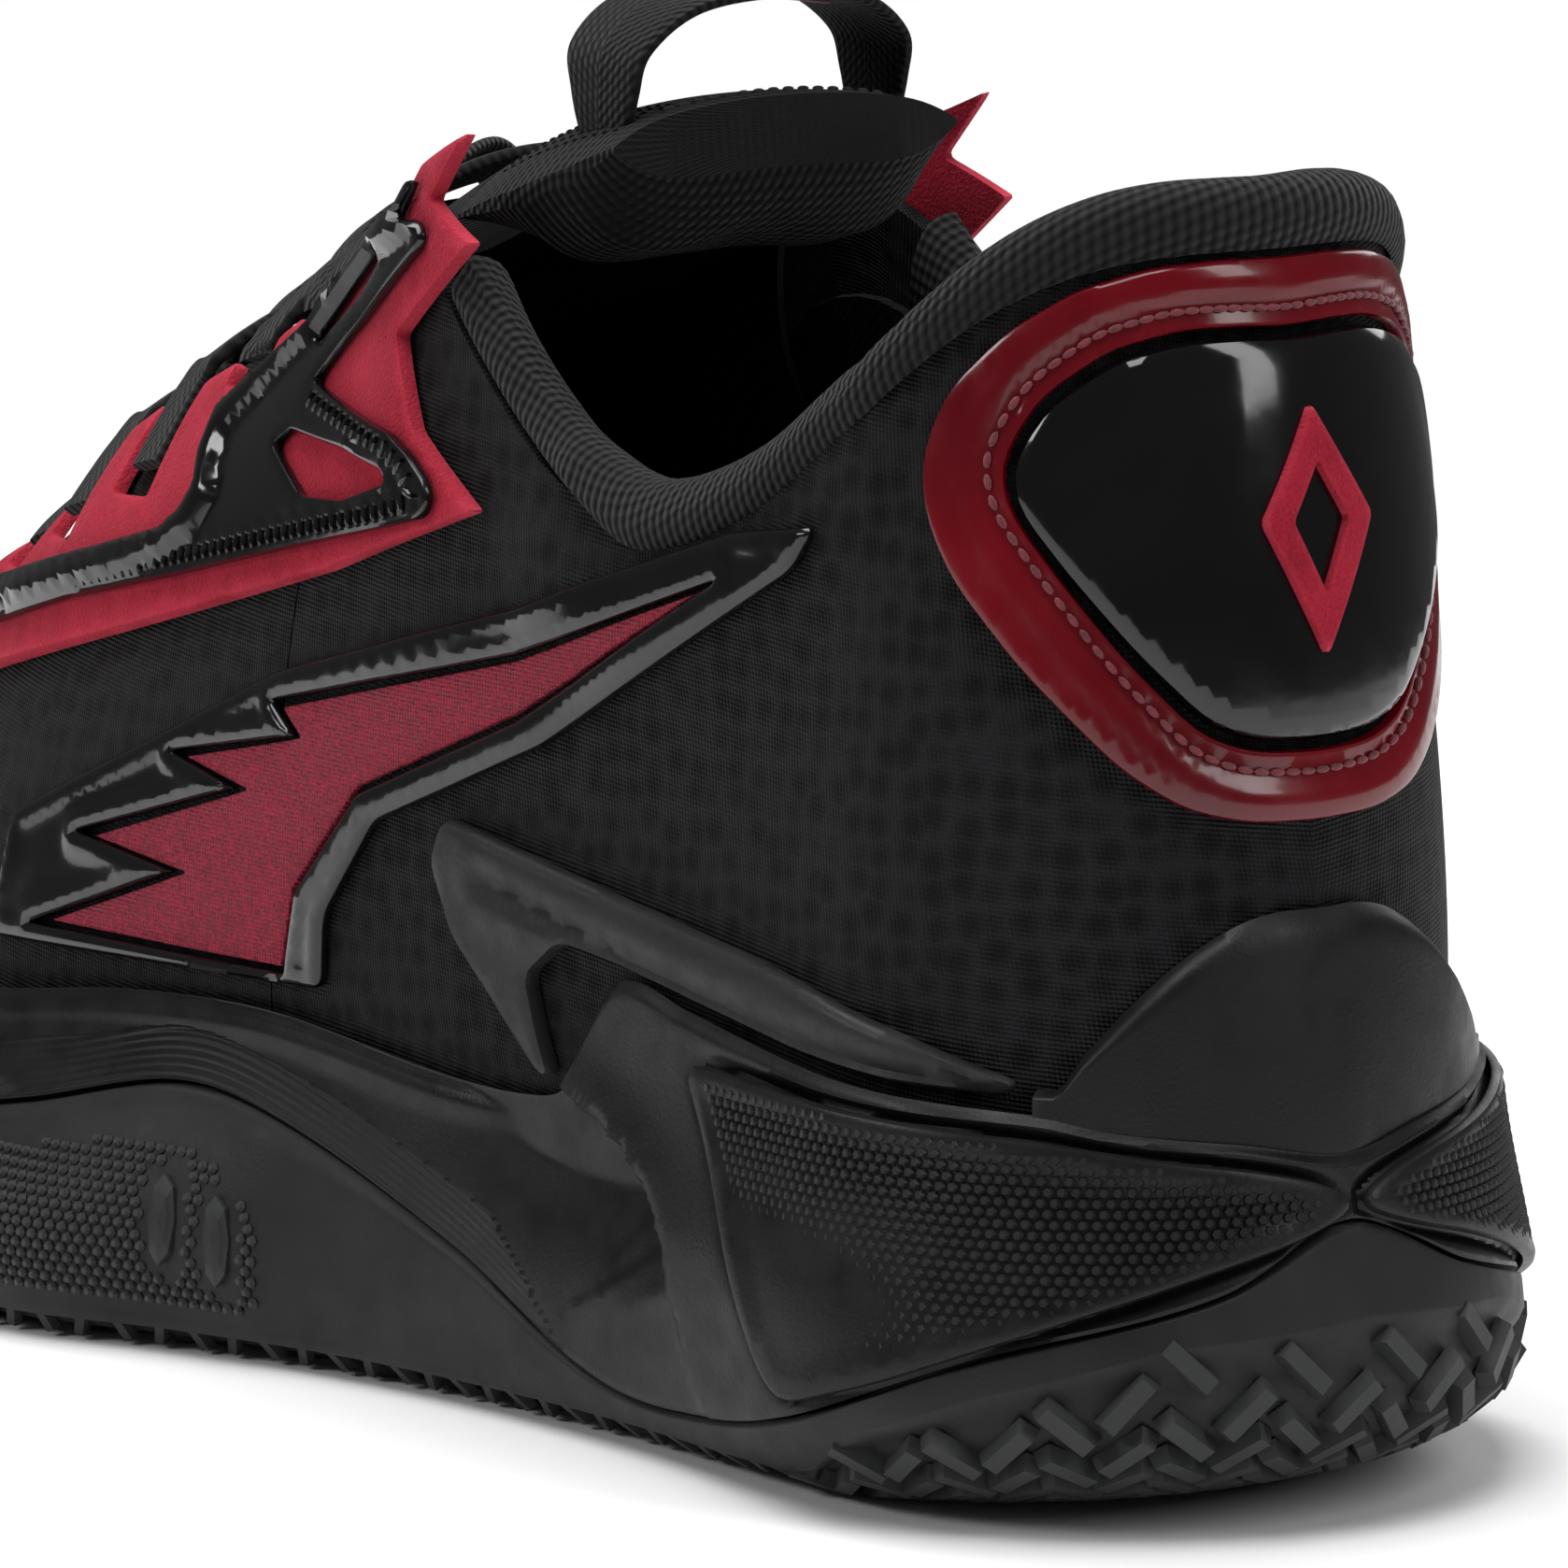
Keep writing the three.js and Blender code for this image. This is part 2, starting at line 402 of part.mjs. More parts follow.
// Its front ends tuck in behind the eyestay flaps, where nothing may stand proud of the upper.
const TUCKED = [[[-0.3, 0.7], [-0.15, 1.3], [-0.1, 2.4], [-1.6, 4.4]], [[-0.7, 0.6], [-1, 0.55], [-1.3, 0.55], [-1.7, 0.6]]];
const rollDepth = line([0, 1], [95, 1], [112, 0.8], [128, 0.72]);
const tuck = line([92, 0], [112, 1]);
const roll = (list, inside) => (q, k) => {
  const row = Math.round(k * (list.length - 1)), front = TUCKED[inside ? 1 : 0][row], t = front ? tuck(stretch(Math.abs(q))) : 0;
  // It rises clear of the upper's edge first, and then moves inward.
  const inward = CLAMP(2 * t - 1, 0, 1), rise = CLAMP(2 * t, 0, 1);
  const out = list[row][0] * (1 - inward) + (front ? front[0] * inward : 0);
  const up = list[row][1] * (1 - rise) + (front ? front[1] * rise : 0);
  const z = edgeHeight(q), s = stretch(Math.abs(q));
  const edge = formPoint(q, reach(formPoint, q, z));
  const n = lift(formPoint, q, reach(formPoint, q, z), 1).sub(edge).setZ(0).normalize();
  const fit = inside || out > -3 ? out : -6.6 + (out + 6.6) * rollDepth(s);
  return edge.addScaledVector(n, fit).setZ(z + up * (up < -5 ? rollDepth(s) : 1));
};
sheet("collar_roll", bothSides(unstretch(124)), NEAR.length, roll(NEAR, false), roll(FAR, true), knit);

// --- Pieces laid on the upper, one of each on both sides ---
// Where the lace rows cross the throat, and how low the flap is notched for each.
const ROWS = [[224, 69.6], [207, 75.6], [190, 82.4], [172.5, 95.4], [157, 102.6]];
const notch = ([s, low]) => [[s + 5.1, THROAT(s + 5.1) - 2], [s + 4.8, low], [s - 4.8, low + 1],
  [s - 5.1, THROAT(s - 5.1) - 2]];
const EYESTAY = [[120.5, 128.4], [127, 121], [118.2, 117.6], [131.5, 107], [126, 98], [115, 91.2], [141.4, 82],
  [175.4, 72.4], [211, 62.6], [234, 58], [243, 61], [238, 68.2], ...ROWS.flatMap(notch), [146, 113], [141, 115.6], [131, 124]];
const CAGE_EDGE = [[231, 62], [216, 65.2], [193.4, 71.8], [172, 77], [151, 82.4], [130, 87.6], [121.8, 89.8],
  [120.8, 91.6], [121.6, 93.4], [125, 95.8], [129, 97.4], [139, 98.4], [148.8, 99.6], [143, 104.4], [137, 108.4],
  [131, 112.6], [126.2, 116], [125.6, 117.4], [127.2, 118.8], [132.6, 118.2], [129, 122.4], [131, 122.2], [141, 113.8],
  [147, 110.6], [152.4, 104.8], [164, 98], [171, 93.8], [173.4, 90.6], [170.6, 87.4], [170.6, 84.6], [174.6, 81.6],
  [188.4, 77.8], [201.4, 74.4], [211, 71.4], [233.5, 66]];
const CAGE_HOLES = [[[135, 114.4], [138.6, 113.8], [145, 109], [151, 103.6], [149.6, 103], [147.6, 104.6], [141, 109]],
  [[155, 92.4], [151.6, 94.4], [138.4, 94.4], [129.4, 93.6], [128.6, 92.4], [137.4, 89.4], [146.4, 88.6]]];
const WING = [[119, 60], [90, 55.4], [67.5, 52.1], [48.5, 47.9], [35, 44.2], [36, 42.9], [50, 43.4], [63, 44.6],
  [80, 47.2], [91, 49], [99.5, 50], [105.5, 46], [103.8, 39.5], [102.5, 36], [104.5, 36], [112, 43.2], [117.5, 48.1],
  [121, 55.4]];
const FRAME = [[63, 95.5], [66, 91], [104, 69], [131, 57.8], [139.5, 47], [140, 39.4], [198, 36.8], [197, 50], [150, 70.8],
  [108, 82.6], [76, 93.4]];
const FRAME_HOLE = [[77, 88.6], [108.5, 77.6], [150.4, 67.6], [146, 64.6], [168, 60.1], [156, 57.9], [184, 49.7], [166, 48],
  [191, 39.2], [146.2, 40.2], [144.2, 49], [133.8, 60.4], [108, 71]];
const INLAY = [[79.5, 87.3], [108.5, 77], [148.6, 67.2], [144.6, 64.6], [165.6, 59.9], [153.6, 58.1], [181, 49.6],
  [163.6, 48.2], [187.6, 39.9], [146.8, 40.8], [144.9, 49.2], [134.2, 61], [108.2, 71.7]];
for (const [side, mirror] of [["outer", 1], ["inner", -1]]) {
  overlay("eyestay_" + side, EYESTAY, [], FLAP, SUEDE, suede, { mirror, grid: 11 });
  overlay("cage_" + side, CAGE_EDGE, CAGE_HOLES, FLAP + SUEDE + GAP, CAGE, gloss, { mirror, grid: 12 });
  overlay("wing_" + side, WING, [], GAP, 2, matte, { mirror, grid: 12 });
  overlay("blade_frame_" + side, FRAME, [FRAME_HOLE], GAP, PATCH, gloss, { mirror, grid: 15 });
  overlay("blade_inlay_" + side, INLAY, [], GAP, PATCH - 0.5, suede, { mirror, grid: 15 });
}
// Red ring, domed badge and plain lozenge on the back of the heel.
const twoSided = (points) => [...points, ...points.slice(1, -1).reverse().map(([q, z]) => [-q, z])];
const RING = twoSided([[0, 122], [10, 122.1], [20, 121.6], [30, 119.6], [39, 115.6], [46.5, 109.6], [49.3, 103.2],
  [48.2, 97.6], [44.5, 92], [35.5, 83.5], [24, 74], [17, 70.2], [9.5, 68.6], [0, 68.3]]);
const BADGE_EDGE = twoSided([[0, 114.4], [8, 114.7], [16, 114.6], [25, 113], [33.5, 108.6], [37.6, 103], [36.6, 98.6], [31, 93],
  [22.5, 84.8], [14.5, 78.2], [8.5, 76.4], [0, 76]]);
const BADGE_HOLE = BADGE_EDGE.map(([q, z]) => [q * 1.03, 96 + (z - 96) * 1.05]);
const dome = (q, z) => DOME * Math.max(0, 1 - (q / 33) ** 2 - ((z - 97) / 22) ** 2);
overlay("heel_ring", RING, [BADGE_HOLE], GAP + 0.1, PATCH, redPatent, { grid: 14 });
overlay("heel_badge", BADGE_EDGE, [], GAP, BADGE, gloss, { grid: 11, bulge: dome, flatBack: true });
overlay("badge_mark", [[0, 108], [8, 97], [0, 84], [-8, 97]], [[[0, 102.5], [4, 96.9], [0, 90], [-4, 96.9]]],
  GAP + BADGE + GAP + 0.15, 0.5, suede, { grid: 7, bulge: dome });

// --- Tongue, pull loop and laces ---
const HINGE_X = trackX(FOLD);
const crown = line([52, 131.5], [66, 130], [80, 126], [95, 120], [111, 112.5], [125, 105], [137, 98.6], [153, 90.5],
  [173, 80.5], [184, 74.5]);
const tongueHalf = line([52, 22], [62, 23.5], [75, 23.2], [94, 20.4], [121, 17.4], [145, 15], [165, 12], [178, 8.5], [186, 3]);
const tongueDrop = line([52, 2.5], [66, 4.5], [85, 7.5], [184, 7]);
// A point of the tongue's upper face; side runs from -1 to 1, depth is measured down through it.
function tonguePoint(x, side, depth) {
  const z = (X) => crown(tableX(X)) + COLLAR_RISE * CLAMP((crown(tableX(X)) - 60) / 60, 0, 1);
  const slope = z(x + 1) - z(x - 1), n = new THREE.Vector3(-slope, 0, 2).normalize();
  const p = new THREE.Vector3(x, side * tongueHalf(tableX(x)) * SHOE_WIDTH + swing(x), z(x) - tongueDrop(tableX(x)) * side * side);
  return p.addScaledVector(n, -depth);
}
sheet("tongue_gusset", [...stations(trackX(185), trackX(177), 8), ...stations(trackX(168), HINGE_X + 1.2, 9.4)], 7, (x, k) => tonguePoint(x, 2 * k - 1, 0),
  (x, k) => tonguePoint(x, 2 * k - 1, TONGUE_T), woven);
// The padded top folds about the highest lace; its front edge is bevelled underneath so that it can.
const padDepth = (x, side) => PAD_T * Math.sqrt(CLAMP((tableX(x) - 50) / 9, 0.25, 1)) * (1 - 0.45 * side ** 4)
  * (1 - 0.6 * CLAMP((x - HINGE_X + 12) / 12, 0, 1));
sheet("tongue_pad", [HINGE_X - 0.8, ...[76, 72, 66, 60, 56, 53.5, 52].map(trackX)], 9,
  (x, k) => tonguePoint(x, (2 * k - 1) * 0.99, tableX(x) < 53 ? 1.5 : tableX(x) < 54 ? 0.4 : 0),
  (x, k) => tonguePoint(x, (2 * k - 1) * 0.99, padDepth(x, 2 * k - 1)), knit);

// A flat strap through the points of a curve; wide gives its width direction and width at each step.
function strap(name, points, thickness, wide, material, steps) {
  const curve = new THREE.CatmullRomCurve3(points);
  const rings = [];
  for (let i = 0; i <= steps; i++) {
    const p = curve.getPoint(i / steps), tangent = curve.getTangent(i / steps);
    const across = wide(i / steps);
    const up = new THREE.Vector3().crossVectors(tangent, across).normalize().multiplyScalar(thickness / 2);
    rings.push([p.clone().add(across).add(up), p.clone().sub(across).add(up), p.clone().sub(across).sub(up),
      p.clone().add(across).sub(up)]);
  }
  const triangles = [];
  quads(rings, triangles, false, true);
  const [a, b, c, d] = rings[0], [e, f, g, h] = rings[steps];
  triangles.push(a, b, c, a, c, d, e, g, f, e, h, g);
  add(name, solid(triangles), material);
}
const loopX = trackX(60), loopFoot = 17, loopHigh = 8.5;
const loopBase = tonguePoint(loopX, 0, 0).z;
strap("pull_loop", [[-1, -1.2], [-0.95, 3.4], [-0.6, 7.4], [0, loopHigh], [0.6, 7.4], [0.95, 3.4], [1, -1.2]]
  .map(([side, up]) => new THREE.Vector3(loopX, side * loopFoot, loopBase + up + 1.8)), WEBBING_T,
  (k) => new THREE.Vector3((WEBBING_W / 2) * (0.35 + 0.65 * Math.sin(Math.PI * CLAMP(k, 0.02, 0.98)) ** 0.6), 0, 0), knit, 16);
ROWS.forEach(([place, low], row) => {
  const s = unstretch(place), x = s - ARC;
  const slope = (crown(tableX(x + 2)) - crown(tableX(x - 2))) / 4;
  const along = new THREE.Vector3(1, 0, slope).normalize().multiplyScalar(LACE_W / 2);
  const ends = [];
  for (const mirror of [1, -1]) {
    const top = THROAT(place) + COLLAR_RISE, off = GAP + LACE_T / 2 + 0.3;
    const at = (z, away) => lift(formPoint, s * mirror, reach(formPoint, s * mirror, z), away);
    const rim = at(top - 0.2, -FABRIC / 2);
    rim.z = top + off + 1.7;
    ends.push([at(low + 3.5, off), at(top - 1.6, off + 0.4), rim, tonguePoint(x, mirror * 0.6, -GAP - LACE_T / 2 - 1.1)]);
  }
  const middle = tonguePoint(x, 0, -GAP - LACE_T / 2 - 0.4);
  strap("lace_row_" + (row + 1), [...ends[0], middle, ...ends[1].reverse()], LACE_T, () => along.clone(), knit, 18);
});

export default group;
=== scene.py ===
import json
import math

import bmesh
import bpy
import numpy as np
from mathutils import Matrix, Vector
from mathutils.geometry import delaunay_2d_cdt
from mathutils.kdtree import KDTree

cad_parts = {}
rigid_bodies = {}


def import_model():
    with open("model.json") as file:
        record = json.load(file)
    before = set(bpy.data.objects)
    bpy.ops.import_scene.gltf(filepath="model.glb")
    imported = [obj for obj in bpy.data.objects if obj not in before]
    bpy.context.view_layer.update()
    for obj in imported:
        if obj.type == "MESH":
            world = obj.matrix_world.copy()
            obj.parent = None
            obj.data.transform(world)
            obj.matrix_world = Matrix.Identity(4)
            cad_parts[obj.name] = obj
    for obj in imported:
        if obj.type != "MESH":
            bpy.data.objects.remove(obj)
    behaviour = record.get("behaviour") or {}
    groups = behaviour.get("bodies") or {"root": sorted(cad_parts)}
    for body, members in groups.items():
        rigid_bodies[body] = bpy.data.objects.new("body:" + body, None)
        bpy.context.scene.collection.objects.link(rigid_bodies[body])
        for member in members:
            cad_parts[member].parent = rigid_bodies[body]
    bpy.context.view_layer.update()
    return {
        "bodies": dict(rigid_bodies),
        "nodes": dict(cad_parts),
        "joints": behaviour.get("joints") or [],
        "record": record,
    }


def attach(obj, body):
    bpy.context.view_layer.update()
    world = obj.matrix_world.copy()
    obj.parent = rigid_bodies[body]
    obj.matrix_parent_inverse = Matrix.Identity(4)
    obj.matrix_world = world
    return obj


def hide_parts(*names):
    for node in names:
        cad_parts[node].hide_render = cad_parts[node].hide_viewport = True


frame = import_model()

# ---- Studio ----
# A plain pale floor under soft boxes, and a long lens low behind the outer side of the heel.
# Nothing here is part of the shoe.
scene = bpy.context.scene
scene.view_settings.view_transform = "Standard"
heading, pitch = math.radians(53), math.radians(9.5)
sight = Vector((math.cos(pitch) * math.sin(heading), -math.cos(pitch) * math.cos(heading), -math.sin(pitch)))
across = Vector((-math.cos(heading), -math.sin(heading), 0))
upward = across.cross(sight)
camera = bpy.data.objects.new("camera", bpy.data.cameras.new("camera"))
camera.data.sensor_width, camera.data.lens = 36, 266.5
camera.data.clip_start, camera.data.clip_end = 0.05, 40
turn = Matrix((across, upward, -sight)).transposed().to_4x4()
far_off, aside, above = 1.15, 0.0317, 0.0666  # metres
camera.matrix_world = Matrix.Translation(-far_off * sight - aside * across + above * upward) @ turn
scene.collection.objects.link(camera)
scene.camera = camera


def soft_box(name, place, aim, size, power):
    lamp = bpy.data.lights.new(name, "AREA")
    lamp.shape, lamp.size, lamp.size_y, lamp.energy = "RECTANGLE", size[0], size[1], power
    box = bpy.data.objects.new(name, lamp)
    box.location = place
    box.rotation_mode = "QUATERNION"
    box.rotation_quaternion = (Vector(place) - Vector(aim)).to_track_quat("Z", "Y")
    scene.collection.objects.link(box)


middle = (0.08, 0, 0.06)
soft_box("light_over", (0.15, 0.1, 1.25), middle, (1.3, 0.9), 21)
soft_box("light_rear", (-0.9, -0.35, 0.75), middle, (0.3, 0.9), 4.5)
soft_box("light_front", (0.45, 1.15, 0.75), middle, (0.7, 0.25), 5)
soft_box("light_inner", (0.5, -1.1, 0.6), middle, (0.9, 0.5), 4)

world = bpy.data.worlds.new("studio")
world.use_nodes = True
sky = world.node_tree
backdrop, fill = sky.nodes["Background"], sky.nodes.new("ShaderNodeBackground")
backdrop.inputs["Color"].default_value = (1, 1, 1, 1)
fill.inputs["Color"].default_value = (1, 1, 1, 1)
fill.inputs["Strength"].default_value = 0.1
seen, choose = sky.nodes.new("ShaderNodeLightPath"), sky.nodes.new("ShaderNodeMixShader")
sky.links.new(seen.outputs["Is Camera Ray"], choose.inputs[0])
sky.links.new(fill.outputs[0], choose.inputs[1])
sky.links.new(backdrop.outputs[0], choose.inputs[2])
sky.links.new(choose.outputs[0], sky.nodes["World Output"].inputs["Surface"])
scene.world = world

floor_mesh = bpy.data.meshes.new("floor")
FLOOR_R, FLOOR_SIDES = 0.62, 96
paper_rim = [(0.08 + FLOOR_R * math.cos(a), FLOOR_R * math.sin(a), 0)
             for a in np.linspace(0, 2 * math.pi, FLOOR_SIDES + 1)[:-1]]
floor_mesh.from_pydata(paper_rim, [], [range(FLOOR_SIDES)])
floor = bpy.data.objects.new("floor", floor_mesh)
scene.collection.objects.link(floor)
paper = bpy.data.materials.new("pale_paper")
paper.use_nodes = True
paper.node_tree.nodes["Principled BSDF"].inputs["Base Color"].default_value = (0.93, 0.93, 0.93, 1)
paper.node_tree.nodes["Principled BSDF"].inputs["Roughness"].default_value = 0.8
floor_mesh.materials.append(paper)

# ---- Outsole ----
# Moulded rubber: a floor with herringbone blocks, a bevelled heel, and a side wall that climbs over
# the ball of the foot. Every piece of the shoe follows a line round it: q is the distance along that
# line from the back of the heel, positive on the outer side. Sizes below are millimetres.
MM = 0.001
HEEL_R, LAST_RUN = 38.0, 205.0
ARC = HEEL_R * math.pi / 2
TOE = 2 * ARC + LAST_RUN


def line(*knots):
    """A smooth line through (place, value) knots."""
    xs, ys = np.array(knots, float).T
    slopes = np.zeros(len(xs))
    slopes[1:-1] = (ys[2:] - ys[:-2]) / (xs[2:] - xs[:-2])

    def value(place):
        s = np.clip(np.abs(np.asarray(place, float)), xs[0], xs[-1])
        i = np.clip(np.searchsorted(xs, s) - 1, 0, len(xs) - 2)
        h = xs[i + 1] - xs[i]
        t = (s - xs[i]) / h
        bend = h * t * (1 - t) * (slopes[i] * (1 - t) - slopes[i + 1] * t)
        return ys[i] * (1 + 2 * t) * (1 - t) ** 2 + ys[i + 1] * t * t * (3 - 2 * t) + bend

    return value


def two_sided(outer, inner):
    """A line that differs between the outer and the inner side of the shoe."""
    return lambda q: np.where(np.asarray(q) >= 0, outer(q), inner(q))


def swing(x):
    t = np.clip((x - 60) / 150, 0, 1)
    return -8 * t * t * (3 - 2 * t)


def put(q, r, z):
    """A point r out from the centre line and z up, at place q."""
    q, r, z = np.broadcast_arrays(np.asarray(q, float), np.asarray(r, float), np.asarray(z, float))
    s = np.minimum(np.abs(q), TOE)
    a = np.where(s < ARC, s / HEEL_R, np.where(s > ARC + LAST_RUN, (s - LAST_RUN) / HEEL_R, math.pi / 2))
    x = np.clip(s - ARC, 0, LAST_RUN) - r * np.cos(a)
    y = np.where(q >= 0, 1, -1) * r * np.sin(a) + swing(x)
    return np.stack([x, y, z], -1)


sole_edge = two_sided(
    line((0, 17), (30, 19), (45, 22), (60, 27), (75, 30), (95, 31.5), (115, 34), (135, 38), (155, 46), (172, 55),
         (195, 59), (225, 59), (255, 52), (285, 43), (325, 40)),
    line((0, 17), (30, 19), (45, 22), (60, 27), (75, 30), (100, 29), (125, 28), (150, 34), (175, 44), (200, 50),
         (230, 50), (262, 46), (290, 42), (325, 40)))
sole_edge_z = line((0, 1.5), (45, 0.5), (60, 0), (61, 0), (269, 0), (270, 0), (290, 3), (325, 9))
sole_wide = two_sided(
    line((0, 41.5), (30, 41.5), (60, 41), (90, 38.5), (115, 39.5), (135, 43), (155, 50), (172, 58), (195, 62),
         (225, 62), (255, 56), (285, 50), (325, 51)),
    line((0, 41.5), (30, 41.5), (60, 41), (90, 38), (120, 36), (150, 39), (175, 48), (200, 53.5), (230, 53.5),
         (262, 50), (290, 48), (325, 51)))
sole_wide_z = line((0, 15), (60, 12), (100, 11), (172, 11), (270, 12), (325, 22))
sole_lip = two_sided(
    line((0, 37.5), (30, 37.5), (60, 37.5), (100, 37.2), (131, 38.5), (150, 40.5), (172, 43.5), (195, 47),
         (225, 48.5), (262, 46), (292, 44.5), (325, 49)),
    line((0, 37.5), (30, 37.5), (60, 37.5), (100, 35), (131, 34.5), (150, 36), (172, 41), (200, 46), (230, 48.5),
         (262, 46), (292, 44.5), (325, 49)))
lip_height = line((0, 36.5), (12, 38.3), (26, 40), (32, 41.3), (50, 42.3), (63, 43.5), (80, 46), (90, 47.5), (95, 43),
                  (100, 35.5), (106, 33.5), (120, 33.5), (148, 36), (172, 35), (195, 32), (230, 30), (262, 30),
                  (300, 32), (325, 35))
rubber_rise = two_sided(
    line((0, 30), (15, 24), (37, 18), (58, 9.5), (75, 6), (92, 6.2), (116, 16.5), (144, 25.5), (160, 27.3), (180, 23),
         (215, 17), (255, 16), (285, 24), (325, 34)),
    line((0, 30), (15, 24), (37, 18), (58, 9.5), (75, 6), (110, 6), (150, 9), (200, 14), (255, 16), (285, 24),
         (325, 34)))


def sole_point(q, t):
    """The outside of the sole: t runs from its bottom edge, past its widest line, to the lip."""
    r0, r1, r2 = sole_edge(q), sole_wide(q), sole_lip(q)
    z0, z1, z2 = sole_edge_z(q), sole_wide_z(q), lip_height(q)
    turn = 0.35
    u = np.clip(t / turn, 0, 1) * math.pi / 2
    w = np.clip((t - turn) / (1 - turn), 0, 1)
    low = t < turn
    r = np.where(low, r0 + (r1 - r0) * np.sin(u), r1 + (r2 - r1) * w * w * (3 - 2 * w))
    z = np.where(low, z0 + (z1 - z0) * (1 - np.cos(u)), z1 + (z2 - z1) * w)
    return put(q, r, z)


def reach(surface, q, z):
    """How far up a surface height z is."""
    q, z = np.broadcast_arrays(np.asarray(q, float), np.asarray(z, float))
    low, high = np.zeros(q.shape), np.ones(q.shape)
    for _ in range(20):
        mid = (low + high) / 2
        under = surface(q, mid)[..., 2] < z
        low, high = np.where(under, mid, low), np.where(under, high, mid)
    return (low + high) / 2


def outward(surface, q, t):
    """The unit vectors that point out of a surface."""
    up = surface(q, np.clip(t + 0.01, 0, 1)) - surface(q, np.clip(t - 0.01, 0, 1))
    along = surface(q + 0.5, t) - surface(q - 0.5, t)
    n = np.cross(up, along)
    return n / np.maximum(np.linalg.norm(n, axis=-1, keepdims=True), 1e-9)


def lift(surface, q, t, away):
    """Points a distance out from a surface."""
    q, t, away = np.broadcast_arrays(np.asarray(q, float), np.asarray(t, float), np.asarray(away, float))
    return surface(q, t) + outward(surface, q, t) * away[..., None]


def squares(rows, columns):
    """The faces of a grid of points."""
    i, j = np.meshgrid(np.arange(rows - 1), np.arange(columns - 1), indexing="ij")
    a = (i * columns + j).ravel()
    return np.stack([a, a + columns, a + columns + 1, a + 1], -1)


CREASE = 40  # degrees; a sharper fold than this stays an edge


def piece(name, points, faces, material, cloth=None, marks=None):
    """A closed mesh from points in millimetres. cloth is each point's place on the flat material, and marks
    are named numbers at the points, both for the material to read."""
    mesh = bpy.data.meshes.new(name)
    mesh.from_pydata((np.asarray(points).reshape(-1, 3) * MM).tolist(), [], [list(map(int, f)) for f in faces])
    for key, values in (marks or {}).items():
        mark = mesh.attributes.new(key, "FLOAT", "POINT")
        mark.data.foreach_set("value", np.asarray(values, np.float32).ravel())
    if cloth is not None:
        corners = np.zeros(len(mesh.loops), np.int32)
        mesh.loops.foreach_get("vertex_index", corners)
        layer = mesh.uv_layers.new(name="cloth")
        layer.data.foreach_set("uv", np.asarray(cloth, np.float32).reshape(-1, 2)[corners].ravel())
    work = bmesh.new()
    work.from_mesh(mesh)
    bmesh.ops.remove_doubles(work, verts=work.verts, dist=3e-6)
    bmesh.ops.delete(work, geom=[f for f in work.faces if f.calc_area() < 1e-13], context="FACES_ONLY")
    faces_on = {}
    for face in work.faces:
        faces_on.setdefault(frozenset(v.index for v in face.verts), []).append(face)
    bmesh.ops.delete(work, geom=[f for pair in faces_on.values() if len(pair) > 1 for f in pair],
                     context="FACES_ONLY")
    if work.calc_volume(signed=True) < 0:
        bmesh.ops.reverse_faces(work, faces=work.faces)
    for face in work.faces:
        face.smooth = True
    work.to_mesh(mesh)
    work.free()
    mesh.set_sharp_from_angle(angle=math.radians(CREASE))
    mesh.materials.append(material)
    made = bpy.data.objects.new(name, mesh)
    scene.collection.objects.link(made)
    return made


def loft(name, rings, material, closed=False, marks=None):
    """A closed body through rings of points, one ring at each place. The ends are closed across each ring."""
    rings = np.asarray(rings, float)
    rings = np.concatenate([rings, rings[:, :1]], 1)
    if closed:
        rings = np.concatenate([rings, rings[:1]], 0)
    n, m = rings.shape[:2]
    step = lambda axis: np.linalg.norm(np.diff(rings, axis=axis), axis=-1)
    u = np.concatenate([[0], np.cumsum(step(0).mean(1))])
    v = np.concatenate([np.zeros((n, 1)), np.cumsum(step(1), 1)], 1)
    cloth = np.stack([np.broadcast_to(u[:, None], (n, m)), v], -1)
    faces = squares(n, m).tolist()
    if not closed:
        half = (m - 1) // 2
        for start, turned in ((0, False), ((n - 1) * m, True)):
            for j in range(half - 1):
                cap = [start + j, start + j + 1, start + m - 3 - j, start + m - 2 - j]
                faces.append(cap[::-1] if turned else cap)
    grown = None
    if marks:
        grown = {}
        for key, values in marks.items():
            values = np.concatenate([values, values[:, :1]], 1)
            grown[key] = np.concatenate([values, values[:1]], 0) if closed else values
    return piece(name, rings, faces, material, cloth, grown)


def finish(name, colour, rough, **sockets):
    """A material with one colour and roughness to start from."""
    material = bpy.data.materials.new(name)
    material.use_nodes = True
    shader = material.node_tree.nodes["Principled BSDF"]
    shader.inputs["Base Color"].default_value = (*colour, 1)
    shader.inputs["Roughness"].default_value = rough
    for key, value in sockets.items():
        shader.inputs[key.replace("_", " ")].default_value = value
    return material


def surface_input(material, name):
    return material.node_tree.nodes["Principled BSDF"].inputs[name]


def join(material, value, socket):
    if isinstance(value, bpy.types.NodeSocket):
        material.node_tree.links.new(value, socket)
    else:
        socket.default_value = value


def add(material, kind, inputs=None, **settings):
    made = material.node_tree.nodes.new("ShaderNode" + kind)
    for key, value in settings.items():
        setattr(made, key, value)
    for key, value in (inputs or {}).items():
        join(material, value, made.inputs[key])
    return made


def calc(material, operation, *values):
    made = add(material, "Math", operation=operation)
    for socket, value in zip(made.inputs, values):
        join(material, value, socket)
    return made.outputs[0]


def speckle(material, scale, detail=3.0):
    """Noise from 0 to 1; scale is features a metre."""
    where = add(material, "TexCoord").outputs["Object"]
    return add(material, "TexNoise", {"Scale": scale, "Detail": detail, "Vector": where}).outputs["Fac"]


